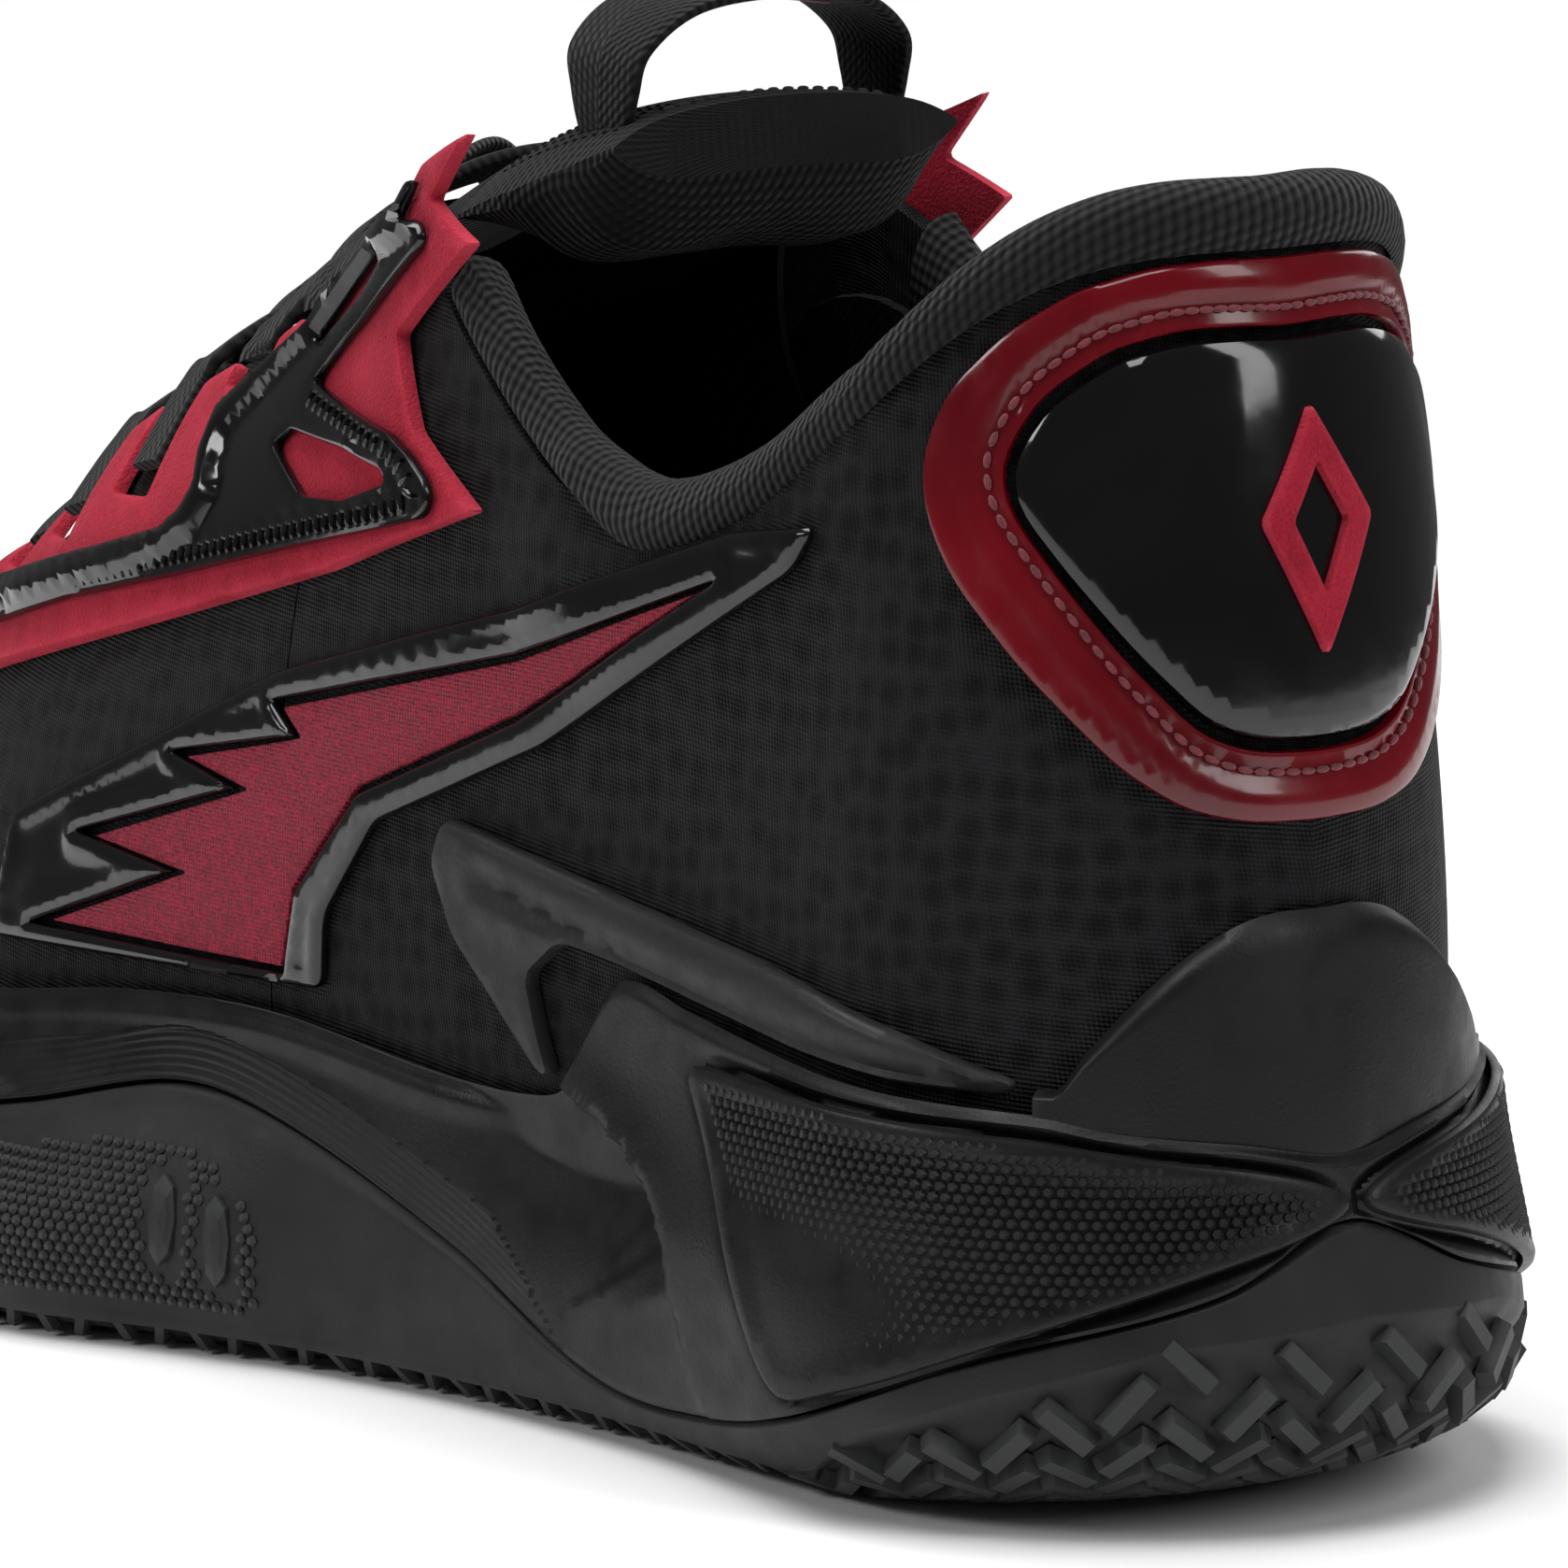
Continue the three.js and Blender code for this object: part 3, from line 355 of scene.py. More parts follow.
def tint(material, amount, low, high):
    """Colours the surface from low to high as amount goes from 0.3 to 0.7."""
    ramp = add(material, "ValToRGB", {"Fac": amount})
    ramp.color_ramp.elements[0].position, ramp.color_ramp.elements[1].position = 0.3, 0.7
    ramp.color_ramp.elements[0].color, ramp.color_ramp.elements[1].color = (*low, 1), (*high, 1)
    material.node_tree.links.new(ramp.outputs["Color"], surface_input(material, "Base Color"))
    return ramp.outputs["Color"]


def polish(material, amount, low, high):
    """Roughness from low to high as amount goes from 0.3 to 0.7."""
    spread = add(material, "MapRange", {"Value": amount, "From Min": 0.3, "From Max": 0.7, "To Min": low,
                                        "To Max": high})
    material.node_tree.links.new(spread.outputs["Result"], surface_input(material, "Roughness"))


def emboss(material, height):
    """Raises the surface by height, in millimetres."""
    bump = add(material, "Bump", {"Height": height, "Distance": MM, "Strength": 1.0})
    material.node_tree.links.new(bump.outputs["Normal"], surface_input(material, "Normal"))


def edge_wear_and_highlight(material, high, base):
    """Lightens outward edges: edge wear, and a painted highlight where the edges catch the light."""
    # Painted highlight and wear: the sharper an outward edge, the nearer its colour goes to high.
    edge = add(material, "NewGeometry").outputs["Pointiness"]
    share = add(material, "MapRange", {"Value": edge, "From Min": 0.52, "From Max": 0.6, "To Min": 0.0,
                                       "To Max": 1.0})
    edge_light_mix = add(material, "Mix", data_type="RGBA")
    join(material, share.outputs["Result"], edge_light_mix.inputs[0])
    join(material, base, edge_light_mix.inputs[6])
    join(material, (*high, 1), edge_light_mix.inputs[7])
    material.node_tree.links.new(edge_light_mix.outputs[2], surface_input(material, "Base Color"))


def rubber_finish(name, dark, light, rough, lines=None):
    material = finish(name, dark, rough, Specular_IOR_Level=0.24)
    colour = tint(material, speckle(material, 70), dark, light)
    # Painted highlight and wear: the rubber's outward edges are lightened to more than twice its light tone.
    edge_wear_and_highlight(material, tuple(2.2 * c for c in light), colour)
    polish(material, speckle(material, 240, 4), rough - 0.07, rough + 0.08)
    grain = calc(material, "MULTIPLY", speckle(material, 2600, 2), 0.035)
    if lines:
        mark = add(material, "Attribute", attribute_name=lines).outputs["Fac"]
        wave = calc(material, "SINE", calc(material, "MULTIPLY", mark, 2 * math.pi / 0.85))
        on = calc(material, "GREATER_THAN", mark, 0.05)
        grain = calc(material, "ADD", grain, calc(material, "MULTIPLY", calc(material, "MULTIPLY", wave, on), 0.09))
    emboss(material, grain)
    return material


def repeat(name, spots, outs, alongs, form, sizes, material, swell=None):
    """One small shape at every spot, standing along outs and lying along alongs. form makes the shape in the
    node tree from named sizes in millimetres. Returns one plain mesh."""
    host_mesh = bpy.data.meshes.new(name + "_spots")
    host_mesh.from_pydata((np.asarray(spots) * MM).tolist(), [], [])
    for key, values in (("out", outs), ("along", alongs)):
        mark = host_mesh.attributes.new(key, "FLOAT_VECTOR", "POINT")
        mark.data.foreach_set("vector", np.asarray(values, np.float32).ravel())
    mark = host_mesh.attributes.new("swell", "FLOAT", "POINT")
    sizes_at = np.ones(len(spots)) if swell is None else swell
    mark.data.foreach_set("value", np.asarray(sizes_at, np.float32))
    host = bpy.data.objects.new(name + "_spots", host_mesh)
    scene.collection.objects.link(host)
    tree = bpy.data.node_groups.new(name, "GeometryNodeTree")
    tree.interface.new_socket("Geometry", in_out="INPUT", socket_type="NodeSocketGeometry")
    named = {k: tree.interface.new_socket(k, in_out="INPUT", socket_type="NodeSocketFloat") for k in sizes}
    tree.interface.new_socket("Geometry", in_out="OUTPUT", socket_type="NodeSocketGeometry")
    inlet, outlet = tree.nodes.new("NodeGroupInput"), tree.nodes.new("NodeGroupOutput")

    def link(a, b):
        tree.links.new(a, b)

    def read(key, kind):
        made = tree.nodes.new("GeometryNodeInputNamedAttribute")
        made.data_type = kind
        made.inputs["Name"].default_value = key
        return made.outputs["Attribute"]

    shape = form(tree, {k: inlet.outputs[k] for k in sizes})
    turned = tree.nodes.new("FunctionNodeAxesToRotation")
    turned.primary_axis, turned.secondary_axis = "Z", "X"
    link(read("out", "FLOAT_VECTOR"), turned.inputs[0])
    link(read("along", "FLOAT_VECTOR"), turned.inputs[1])
    spread = tree.nodes.new("GeometryNodeInstanceOnPoints")
    link(inlet.outputs["Geometry"], spread.inputs["Points"])
    link(shape, spread.inputs["Instance"])
    link(turned.outputs[0], spread.inputs["Rotation"])
    link(read("swell", "FLOAT"), spread.inputs["Scale"])
    real, coat = tree.nodes.new("GeometryNodeRealizeInstances"), tree.nodes.new("GeometryNodeSetMaterial")
    coat.inputs["Material"].default_value = material
    link(spread.outputs["Instances"], real.inputs["Geometry"])
    link(real.outputs["Geometry"], coat.inputs["Geometry"])
    link(coat.outputs["Geometry"], outlet.inputs["Geometry"])
    maker = host.modifiers.new(name, "NODES")
    maker.node_group = tree
    for key, socket in named.items():
        maker[socket.identifier] = float(sizes[key] * MM)
    seen_mesh = host.evaluated_get(bpy.context.evaluated_depsgraph_get())
    mesh = bpy.data.meshes.new_from_object(seen_mesh)
    mesh.name = name
    bpy.data.objects.remove(host)
    made = bpy.data.objects.new(name, mesh)
    scene.collection.objects.link(made)
    return made


def block(tree, size):
    """A plain block, narrower at its top."""
    cube, wide = tree.nodes.new("GeometryNodeMeshCube"), tree.nodes.new("ShaderNodeCombineXYZ")
    for key, socket in (("Length", "X"), ("Width", "Y"), ("Height", "Z")):
        tree.links.new(size[key], wide.inputs[socket])
    tree.links.new(wide.outputs[0], cube.inputs["Size"])
    place, apart = tree.nodes.new("GeometryNodeInputPosition"), tree.nodes.new("ShaderNodeSeparateXYZ")
    tree.links.new(place.outputs[0], apart.inputs[0])
    top, draft = tree.nodes.new("ShaderNodeMath"), tree.nodes.new("GeometryNodeSetPosition")
    top.operation = "GREATER_THAN"
    top.inputs[1].default_value = 0
    tree.links.new(apart.outputs["Z"], top.inputs[0])
    shrink = tree.nodes.new("ShaderNodeVectorMath")
    shrink.operation = "MULTIPLY"
    shrink.inputs[1].default_value = (0.86, 0.72, 1)
    tree.links.new(place.outputs[0], shrink.inputs[0])
    tree.links.new(cube.outputs["Mesh"], draft.inputs["Geometry"])
    tree.links.new(top.outputs[0], draft.inputs["Selection"])
    tree.links.new(shrink.outputs[0], draft.inputs["Position"])
    return draft.outputs[0]


outsole_rubber = rubber_finish("outsole_rubber", (0.0085, 0.009, 0.009), (0.016, 0.0165, 0.0165), 0.5)
TREAD_CUT = 1.5  # depth of the grooves between blocks
HEEL_FLOOR, FRONT_FLOOR = 1.1, 1.4  # height of the rubber between the blocks
SOLE_STEP, FOAM_STEP, LINING_STEP = 1.5, 0.85, 3  # spacing of sections round the shoe


def all_round(step):
    """Places from the toe along the inner side, round the heel, and back along the outer side."""
    return np.concatenate([np.arange(-TOE, 0, step), np.arange(0.0, TOE, step)])


around = all_round(SOLE_STEP)


def bevel_line(q):
    """How far up the side the tread wraps: high round the heel, low elsewhere."""
    return np.interp(np.abs(q), [0, 20, 37, 48, 58, 64, 270, 290, 325], [21, 19.5, 14.5, 10, 4, 2.6, 2.6, 7, 15])


rubber_top = lambda q: np.minimum(rubber_rise(q), lip_height(q) - 4)
q = around[:, None]
rubber_t = reach(sole_point, q, rubber_top(q))
bevel_t = reach(sole_point, q, np.minimum(bevel_line(q), rubber_top(q) - 1.5))
wall_rows = np.linspace(0, 1, 26)[None, :]
wall = bevel_t + (rubber_t - bevel_t) * wall_rows ** 0.9
rolled = -0.7 * np.clip(1 - (1 - wall_rows) * 9, 0, 1) ** 2
high = lift(sole_point, q, wall, rolled + 0 * q)
tread_rows = np.linspace(0, 1, 15)[None, :-1]
low = lift(sole_point, q, bevel_t * tread_rows, -TREAD_CUT * (1 - np.clip(tread_rows * 14 - 12.4, 0, 1)) + 0 * q)
low[..., 2] = np.maximum(low[..., 2], np.where(np.abs(q) < 60, HEEL_FLOOR, FRONT_FLOOR))
inside_t = np.linspace(1, 0, 6)[None, :]
floor_t = reach(sole_point, q, 4.5 + sole_edge_z(q))
inner = lift(sole_point, q, floor_t + (rubber_t - floor_t) * inside_t, -2.8 + 0 * q)
inner[:, 0, 2] = rubber_top(around) - 0.25
ground = put(q, sole_edge(q) * np.linspace(0, 0.97, 9)[None, :], 0)
ground[..., 2] = np.where(np.abs(q) < 60, HEEL_FLOOR + 0.5 * np.linspace(0, 1, 9), FRONT_FLOOR)
inside_floor = put(q, np.linspace(1, 0, 4)[None, :] * (sole_edge(q) * 0.9), 4.4)
outsole = loft("outsole_shell", np.concatenate([ground, low, high, inner, inside_floor], 1), outsole_rubber,
               closed=True)
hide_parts("outsole")
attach(outsole, "shoe")


def herringbone(low, high, long, wide):
    """Centres and directions of the blocks of a herringbone floor inside a rectangle."""
    places, lies = [], []
    far = int(max(abs(low[0]), abs(low[1]), high[0], high[1]) / wide) + 20
    for k in range(-far, far):
        for m in range(-far // 2, far // 2):
            corner = (k * wide + m * long, k * wide - m * long)
            for shift, lie in (((long / 2, wide / 2), (1, 1)), ((-wide / 2, long / 2), (-1, 1))):
                a, b = corner[0] + shift[0], corner[1] + shift[1]
                u, v = (a - b) / math.sqrt(2), (a + b) / math.sqrt(2)
                if low[0] < u < high[0] and low[1] < v < high[1]:
                    places.append((u, v))
                    lies.append(lie)
    return np.array(places), np.array(lies, float)


BLOCK_L, BLOCK_W, BLOCK_H, BLOCK_GAP = 8.2, 3.5, 1.8, 0.9
flat_q = np.arange(-TOE, TOE, SOLE_STEP)
rim = put(flat_q, sole_edge(flat_q) + 0.4, 0)
plan = KDTree(len(rim))
for i, p in enumerate(rim):
    plan.insert((p[0], p[1], 0), i)
plan.balance()
spots, outs, alongs = [], [], []
for (x, y), lie in zip(*herringbone((-20, -66), (252, 60), BLOCK_L, BLOCK_W)):
    _, i, gap = plan.find((x, y, 0))
    inward = rim[i] - put(flat_q[i], 0, 0)
    if (np.array([x, y]) - rim[i][:2]) @ inward[:2] < -2.2 * np.linalg.norm(inward):
        spots.append((x, y, BLOCK_H / 2 + (0.9 if x < 6 else 0.05)))
        outs.append((0, 0, -1))
        alongs.append((*lie, 0))
# Round the heel and the toe the blocks climb the bevel, and along the sides they end in one row of teeth.
girth = {"heel": 0.95, "toe": 1.15}
for end, (start, stop) in (("heel", (-66, 66)), ("toe", (282 - TOE, TOE - 282))):
    for (u, v), lie in zip(*herringbone((start * 1.05, 1.2), (stop * 1.05, 48), BLOCK_L * 0.9, BLOCK_W * 0.92)):
        turn = u / girth[end]
        place = turn if end == "heel" else (TOE - abs(turn)) * (1 if turn >= 0 else -1)
        if abs(turn) > stop:
            continue
        t = 0.0
        while t < 0.9:
            if np.linalg.norm(sole_point(place, t) - sole_point(place, 0.0)) >= v:
                break
            t += 0.01
        if sole_point(place, t)[2] > bevel_line(place) - 0.9:
            continue
        out = outward(sole_point, place, t)
        sideways = sole_point(place + 0.5, t) - sole_point(place - 0.5, t)
        sideways /= np.linalg.norm(sideways)
        climb = np.cross(out, sideways)
        flip = 1 if end == "heel" else -1
        spots.append(sole_point(place, t) - out * 0.75)
        outs.append(out)
        alongs.append(lie[0] * sideways * flip + lie[1] * climb)
full_size = len(spots)
for side in (1, -1):
    for k, place in enumerate(np.arange(62, 290, 4.3)):
        q0 = side * place
        t = reach(sole_point, q0, 1.5)
        out = outward(sole_point, q0, t)
        spots.append(sole_point(q0, t) - out * 0.75)
        outs.append(out)
        sideways = sole_point(q0 + 0.5, t) - sole_point(q0 - 0.5, t)
        alongs.append(np.cross(out, sideways) + 0.35 * (-1) ** k * sideways)
TREAD_SWELL, TEETH_SWELL = 0.95, 0.55  # size of a block against its plain size
swell = np.full(len(spots), TREAD_SWELL)
swell[full_size:] = TEETH_SWELL
spots, outs, alongs = np.array(spots, float), np.array(outs, float), np.array(alongs, float)
spots[:, 2] = np.maximum(spots[:, 2], BLOCK_H / 2 + 0.02 + 1.5 * np.sqrt(np.clip(1 - outs[:, 2] ** 2, 0, 1)))
treads = repeat("outsole_tread_blocks", spots, outs, alongs, block,
                {"Length": BLOCK_L - BLOCK_GAP, "Width": BLOCK_W - BLOCK_GAP, "Height": BLOCK_H}, outsole_rubber,
                swell=swell)
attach(treads, "shoe")

# ---- Midsole ----
# Moulded foam that cups the upper, cemented to the rubber. Its side has a rolled lip, a hooked ridge with
# a scoop in front of it, a groove round the heel panel and fine mould lines above the rubber.
foam = rubber_finish("midsole_foam", (0.003, 0.0031, 0.0033), (0.006, 0.0062, 0.0065), 0.4, lines="mould")
panel_edge = np.array([(78, 41.5), (62, 40.8), (46, 40), (32, 39.2), (22, 37.6), (12, 36.2), (5, 34.6), (1.2, 32.8),
                       (1, 31), (6.5, 29), (15.5, 26.6), (26.5, 23), (37, 19), (46.5, 15), (57, 11.4), (60, 14),
                       (66, 23), (72, 32)])
hook = np.array([(112, 44), (106, 39.6), (101, 36), (94, 33.6), (88, 31), (83.5, 27.6), (80, 23.5), (78.2, 18.5)],
                float)


def rounded(outline, cut=1.5, steps=4):
    """The outline with its corners rounded."""
    made = []
    n = len(outline)
    for i in range(n):
        a, b, c = (np.asarray(outline[(i + k) % n], float) for k in (-1, 0, 1))
        la, lc = np.linalg.norm(a - b), np.linalg.norm(c - b)
        p, r = b + (a - b) / la * min(cut, 0.45 * la), b + (c - b) / lc * min(cut, 0.45 * lc)
        for w in np.linspace(0, 1, steps):
            made.append((1 - w) ** 2 * p + 2 * w * (1 - w) * b + w * w * r)
    return np.array(made)


def nearest(points, path, closed=False):
    """For each point: its distance to a path, how far along the path that is, and which side it is on."""
    points = np.asarray(points, float).reshape(-1, 2)
    a = np.asarray(path, float)
    b = np.roll(a, -1, 0) if closed else a[1:]
    a = a if closed else a[:-1]
    run = np.concatenate([[0], np.cumsum(np.linalg.norm(b - a, axis=1))])
    best, along, side = np.full(len(points), 1e9), np.zeros(len(points)), np.zeros(len(points))
    for k in range(len(a)):
        d = b[k] - a[k]
        t = np.clip((points - a[k]) @ d / max(d @ d, 1e-12), 0, 1)
        away = points - a[k] - t[:, None] * d
        gap = np.hypot(away[:, 0], away[:, 1])
        closer = gap < best - 1e-9
        best = np.where(closer, gap, best)
        along = np.where(closer, run[k] + t * (run[k + 1] - run[k]), along)
        cross = d[0] * (points[:, 1] - a[k][1]) - d[1] * (points[:, 0] - a[k][0])
        side = np.where(closer, np.sign(cross), side)
    return best, along / run[-1], side


def inside(points, outline):
    """Whether each point lies inside an outline."""
    x, y = np.asarray(points, float).reshape(-1, 2).T
    within = np.zeros(len(x), bool)
    a = np.asarray(outline, float)
    for (x0, y0), (x1, y1) in zip(a, np.roll(a, -1, 0)):
        if y0 != y1:
            within ^= ((y0 > y) != (y1 > y)) & (x < (x1 - x0) * (y - y0) / (y1 - y0) + x0)
    return within


def ease(x):
    x = np.clip(x, 0, 1)
    return x * x * (3 - 2 * x)


def heel_belly(flat):
    """How far the side swells between the heel and the arch, in millimetres."""
    return 1.1 * np.exp(-(((flat[:, 1] - 22) / 9) ** 2)) * np.exp(-(((flat[:, 0] - 66) / 26) ** 2))


def foam_relief(q, z):
    """How far the foam's side stands out or in, in millimetres."""
    flat = np.stack([np.abs(q).ravel(), z.ravel()], -1)
    away, along, side = nearest(flat, hook)
    crest = np.sin(math.pi * np.clip(along * 0.93 + 0.05, 0, 1)) ** 0.8
    front = -4.6 * crest * ease(away / 2.6) * np.exp(-((away / 12) ** 2))
    rear = 0.9 * crest * np.exp(-((away / 4) ** 2))
    form = np.where(side > 0, front, rear)
    groove, _, _ = nearest(flat, rounded(panel_edge, 3), closed=True)
    form -= 0.9 * np.exp(-((groove / 0.8) ** 2))
    return (form + heel_belly(flat)).reshape(q.shape)


form_foot = two_sided(
    line((0, 31.5), (30, 32), (60, 32), (100, 32.5), (140, 35), (170, 38.5), (200, 42), (230, 43), (265, 39.5),
         (292, 37.5), (325, 41)),
    line((0, 31.5), (30, 32), (60, 32), (100, 29.5), (140, 29), (170, 34.5), (200, 40), (230, 42.5), (265, 39),
         (292, 37), (325, 41)))
foot_height = line((0, 24), (60, 22), (120, 19), (180, 14), (240, 12), (264.7, 12.4), (285, 14), (325, 19))
form_top = line((0, 24), (30, 25.5), (60, 29.5), (88, 32), (106, 32.5), (119, 31.5), (130, 29), (141, 26),
                (154, 23.5), (181, 20.5), (205, 18), (225, 15), (240, 10), (249.9, 0), (250, 0), (325, 0))
top_height = line((0, 130), (25, 129), (42, 124), (60, 114), (75, 105), (90, 103), (101, 108), (110, 121), (119, 131),
                  (127, 130), (141, 118), (154, 111), (165, 105), (181, 98.5), (202, 90), (219, 79), (235, 71.5),
                  (250, 65), (264.6, 60), (265, 60), (325, 60))
low_out = line((0, 4), (60, 5.5), (120, 6.5), (200, 7.5), (262, 9), (325, 9))
low_up = line((0, 34), (60, 30), (120, 30), (180, 26), (240, 16), (325, 18))
top_out = line((0, 4), (30, 4), (60, 2.5), (88, 1.5), (105, 2), (119, 3), (130, 6), (145, 10), (180, 15), (225, 20),
               (250, 28), (290, 28), (325, 30))
top_down = line((0, 38), (60, 34), (88, 26), (105, 30), (119, 34), (130, 30), (145, 22), (180, 14), (225, 8),
                (250, 1), (265, 0), (325, 6))


def form_point(q, v):
    """The form of the upper: v runs from the feather edge, where it meets the sole, to its top."""
    v = np.asarray(v, float)
    r0, z0, r3, z3 = form_foot(q), foot_height(q), form_top(q), top_height(q)
    r1, z1, r2, z2 = r0 + low_out(q), z0 + low_up(q), r3 + top_out(q), z3 - top_down(q)
    a, b, c, d = (1 - v) ** 3, 3 * v * (1 - v) ** 2, 3 * v * v * (1 - v), v**3
    return put(q, a * r0 + b * r1 + c * r2 + d * r3, a * z0 + b * z1 + c * z2 + d * z3)


foam_q = all_round(FOAM_STEP)
q = foam_q[:, None]
bottom = reach(sole_point, q, rubber_top(q) + 0.35)
rows = np.linspace(0, 1, 50)[None, :]
side = bottom + (1 - bottom) * rows
height = sole_point(q, side)[..., 2]
roll = -0.9 * ease(1 - (lip_height(q) - height) / 1.4) ** 2 - 0.6 * ease(1 - (height - rubber_top(q)) / 0.9) ** 2
lip_rim = 0.5 * np.exp(-(((lip_height(q) - height - 2.2) / 1.3) ** 2)) * ease((np.abs(q) - 100) / 12)
outside = lift(sole_point, q, side, roll + lip_rim + foam_relief(q + 0 * side, height))
spine = foot_height(np.clip(np.abs(q), ARC, ARC + LAST_RUN))
depth = foot_height(q) + (lip_height(q) - foot_height(q)) * np.linspace(0, 1, 7)[None, :]
cup = lift(form_point, q, reach(form_point, q, depth), 0.75 + 0 * q)
cup[:, -1, 2] = lip_height(foam_q) - 0.5
middle_line = put(q, 0, 0)[..., :2]
upper_side = lift(form_point, q, reach(form_point, q, height), 1.3 + 0 * q)[..., :2]
bound = np.linalg.norm(upper_side - middle_line, axis=-1)
now = np.linalg.norm(outside[..., :2] - middle_line, axis=-1)
far = np.maximum(now, bound)
outside[..., :2] = middle_line + (outside[..., :2] - middle_line) * (far / np.maximum(now, 1e-6))[..., None]
step_t = reach(sole_point, q, 4.8 + sole_edge_z(q))
step = lift(sole_point, q, step_t + (reach(sole_point, q, rubber_top(q)) - step_t) * np.linspace(1, 0, 4)[None, :],
            -4.2 + 0 * q)
step[:, 0, 2] = rubber_top(foam_q) + 0.35
ring = np.concatenate([put(q, 0, spine - 0.3), cup, outside[:, ::-1], step, put(q, 0, 4.8 + 0 * q)], 1)
band = np.zeros(ring.shape[:2])
climb = height - rubber_top(q)
limit = np.interp(np.abs(q), [0, 96, 110, 150, 190, 215, 325], [0, 0, 6.5, 5, 6.5, 5, 4])
band[:, 8:58] = np.where((climb < limit) & (climb > 0.4), climb, 0)[:, ::-1]
midsole = loft("midsole_foam_cup", ring, foam, closed=True, marks={"mould": band})
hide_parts("midsole")
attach(midsole, "shoe")

# ---- Panels on the outsole's side ----
# Where the rubber climbs over the ball of the foot it carries a field of small moulded scales and two
# plain raised bars.


def scale_tile(tree, size):
    """A low six-sided tile."""
    cone = tree.nodes.new("GeometryNodeMeshCone")
    cone.inputs["Vertices"].default_value = 6
    tree.links.new(size["Top"], cone.inputs["Radius Top"])
    tree.links.new(size["Foot"], cone.inputs["Radius Bottom"])
    tree.links.new(size["Height"], cone.inputs["Depth"])
    return cone.outputs["Mesh"]


def field(surface, outline, pitch, side, sunk, tilt=0.0, keep_off=()):
    """Places, directions and lie of tiles that fill an outline on a surface."""
    low, high = np.min(outline, 0), np.max(outline, 0)
    gx, gy = np.meshgrid(np.arange(low[0], high[0], pitch), np.arange(low[1], high[1], pitch * 0.8))
    gx[::2] += pitch / 2
    flat = np.stack([gx.ravel(), gy.ravel()], -1)
    flat = flat[inside(flat, outline)]
    for path, room in keep_off:
        flat = flat[nearest(flat, path)[0] > room]
    q, t = side * flat[:, 0], reach(surface, side * flat[:, 0], flat[:, 1])
    out = outward(surface, q, t)
    along = surface(q + 0.5 * side, t) - surface(q - 0.5 * side, t)
    along /= np.linalg.norm(along, axis=1, keepdims=True)
    leaned = out + tilt * along
    return surface(q, t) + out * sunk, leaned / np.linalg.norm(leaned, axis=1, keepdims=True), along


ball_field = rounded([(143, 5.2), (142.2, 13), (146.8, 18.8), (154.5, 22), (164, 21.6), (177, 19.2), (190, 16),
                      (198, 13), (199, 6.5), (170, 4.8)], 4)
bars = [np.array([(154, 10.6), (155, 18)]), np.array([(147.2, 9.2), (148, 16.6)])]
tiles = [field(sole_point, ball_field, 1.35, 1, 0.05, 0.2, [(bar, 2.6) for bar in bars])]
inner_field = rounded([(170, 4.6), (172, 8.5), (185, 10.6), (205, 11.6), (228, 12), (230, 5.4), (200, 4.4)], 4)
tiles.append(field(sole_point, inner_field, 1.35, -1, 0.05, 0.2))
side_scales = repeat("outsole_side_scales", *(np.concatenate(part) for part in zip(*tiles)), scale_tile,
                     {"Top": 0.36, "Foot": 0.66, "Height": 0.5}, outsole_rubber)
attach(side_scales, "shoe")


def bead(tree, size):
    """A rounded bead, longer than it is wide."""
    ball, wide = tree.nodes.new("GeometryNodeMeshUVSphere"), tree.nodes.new("ShaderNodeCombineXYZ")
    ball.inputs["Segments"].default_value, ball.inputs["Rings"].default_value = 8, 5
    ball.inputs["Radius"].default_value = 0.5
    for key, socket in (("Length", "X"), ("Width", "Y"), ("Height", "Z")):
        tree.links.new(size[key], wide.inputs[socket])
    stretched = tree.nodes.new("GeometryNodeTransform")
    tree.links.new(ball.outputs["Mesh"], stretched.inputs["Geometry"])
    tree.links.new(wide.outputs[0], stretched.inputs["Scale"])
    return stretched.outputs["Geometry"]


bar_spots, bar_outs, bar_alongs = [], [], []
for bar in bars:
    ends = [sole_point(s, reach(sole_point, s, z)) for s, z in bar]
    s, z = bar.mean(0)
    t = reach(sole_point, s, z)
    bar_spots.append(sole_point(s, t))
    bar_outs.append(outward(sole_point, s, t))
    bar_alongs.append(ends[1] - ends[0])
raised = repeat("outsole_plain_bars", bar_spots, bar_outs, bar_alongs, bead,
                {"Length": 10, "Width": 3.6, "Height": 1.9}, outsole_rubber)
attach(raised, "shoe")

# ---- Heel panels ----
# A leaf-shaped panel moulded into each side of the heel: a dished face covered in small overlapping
# scales, with a smooth rim.
panel_rubber = rubber_finish("panel_rubber", (0.003, 0.0031, 0.0033), (0.0065, 0.0067, 0.007), 0.38)


def dense(outline, step):
    """The outline with points no further apart than step."""
    made = []
    for a, b in zip(outline, np.roll(outline, -1, 0)):
        n = max(1, int(math.ceil(np.linalg.norm(b - a) / step)))
        made += [a + (b - a) * k / n for k in range(n)]
    return np.array(made)


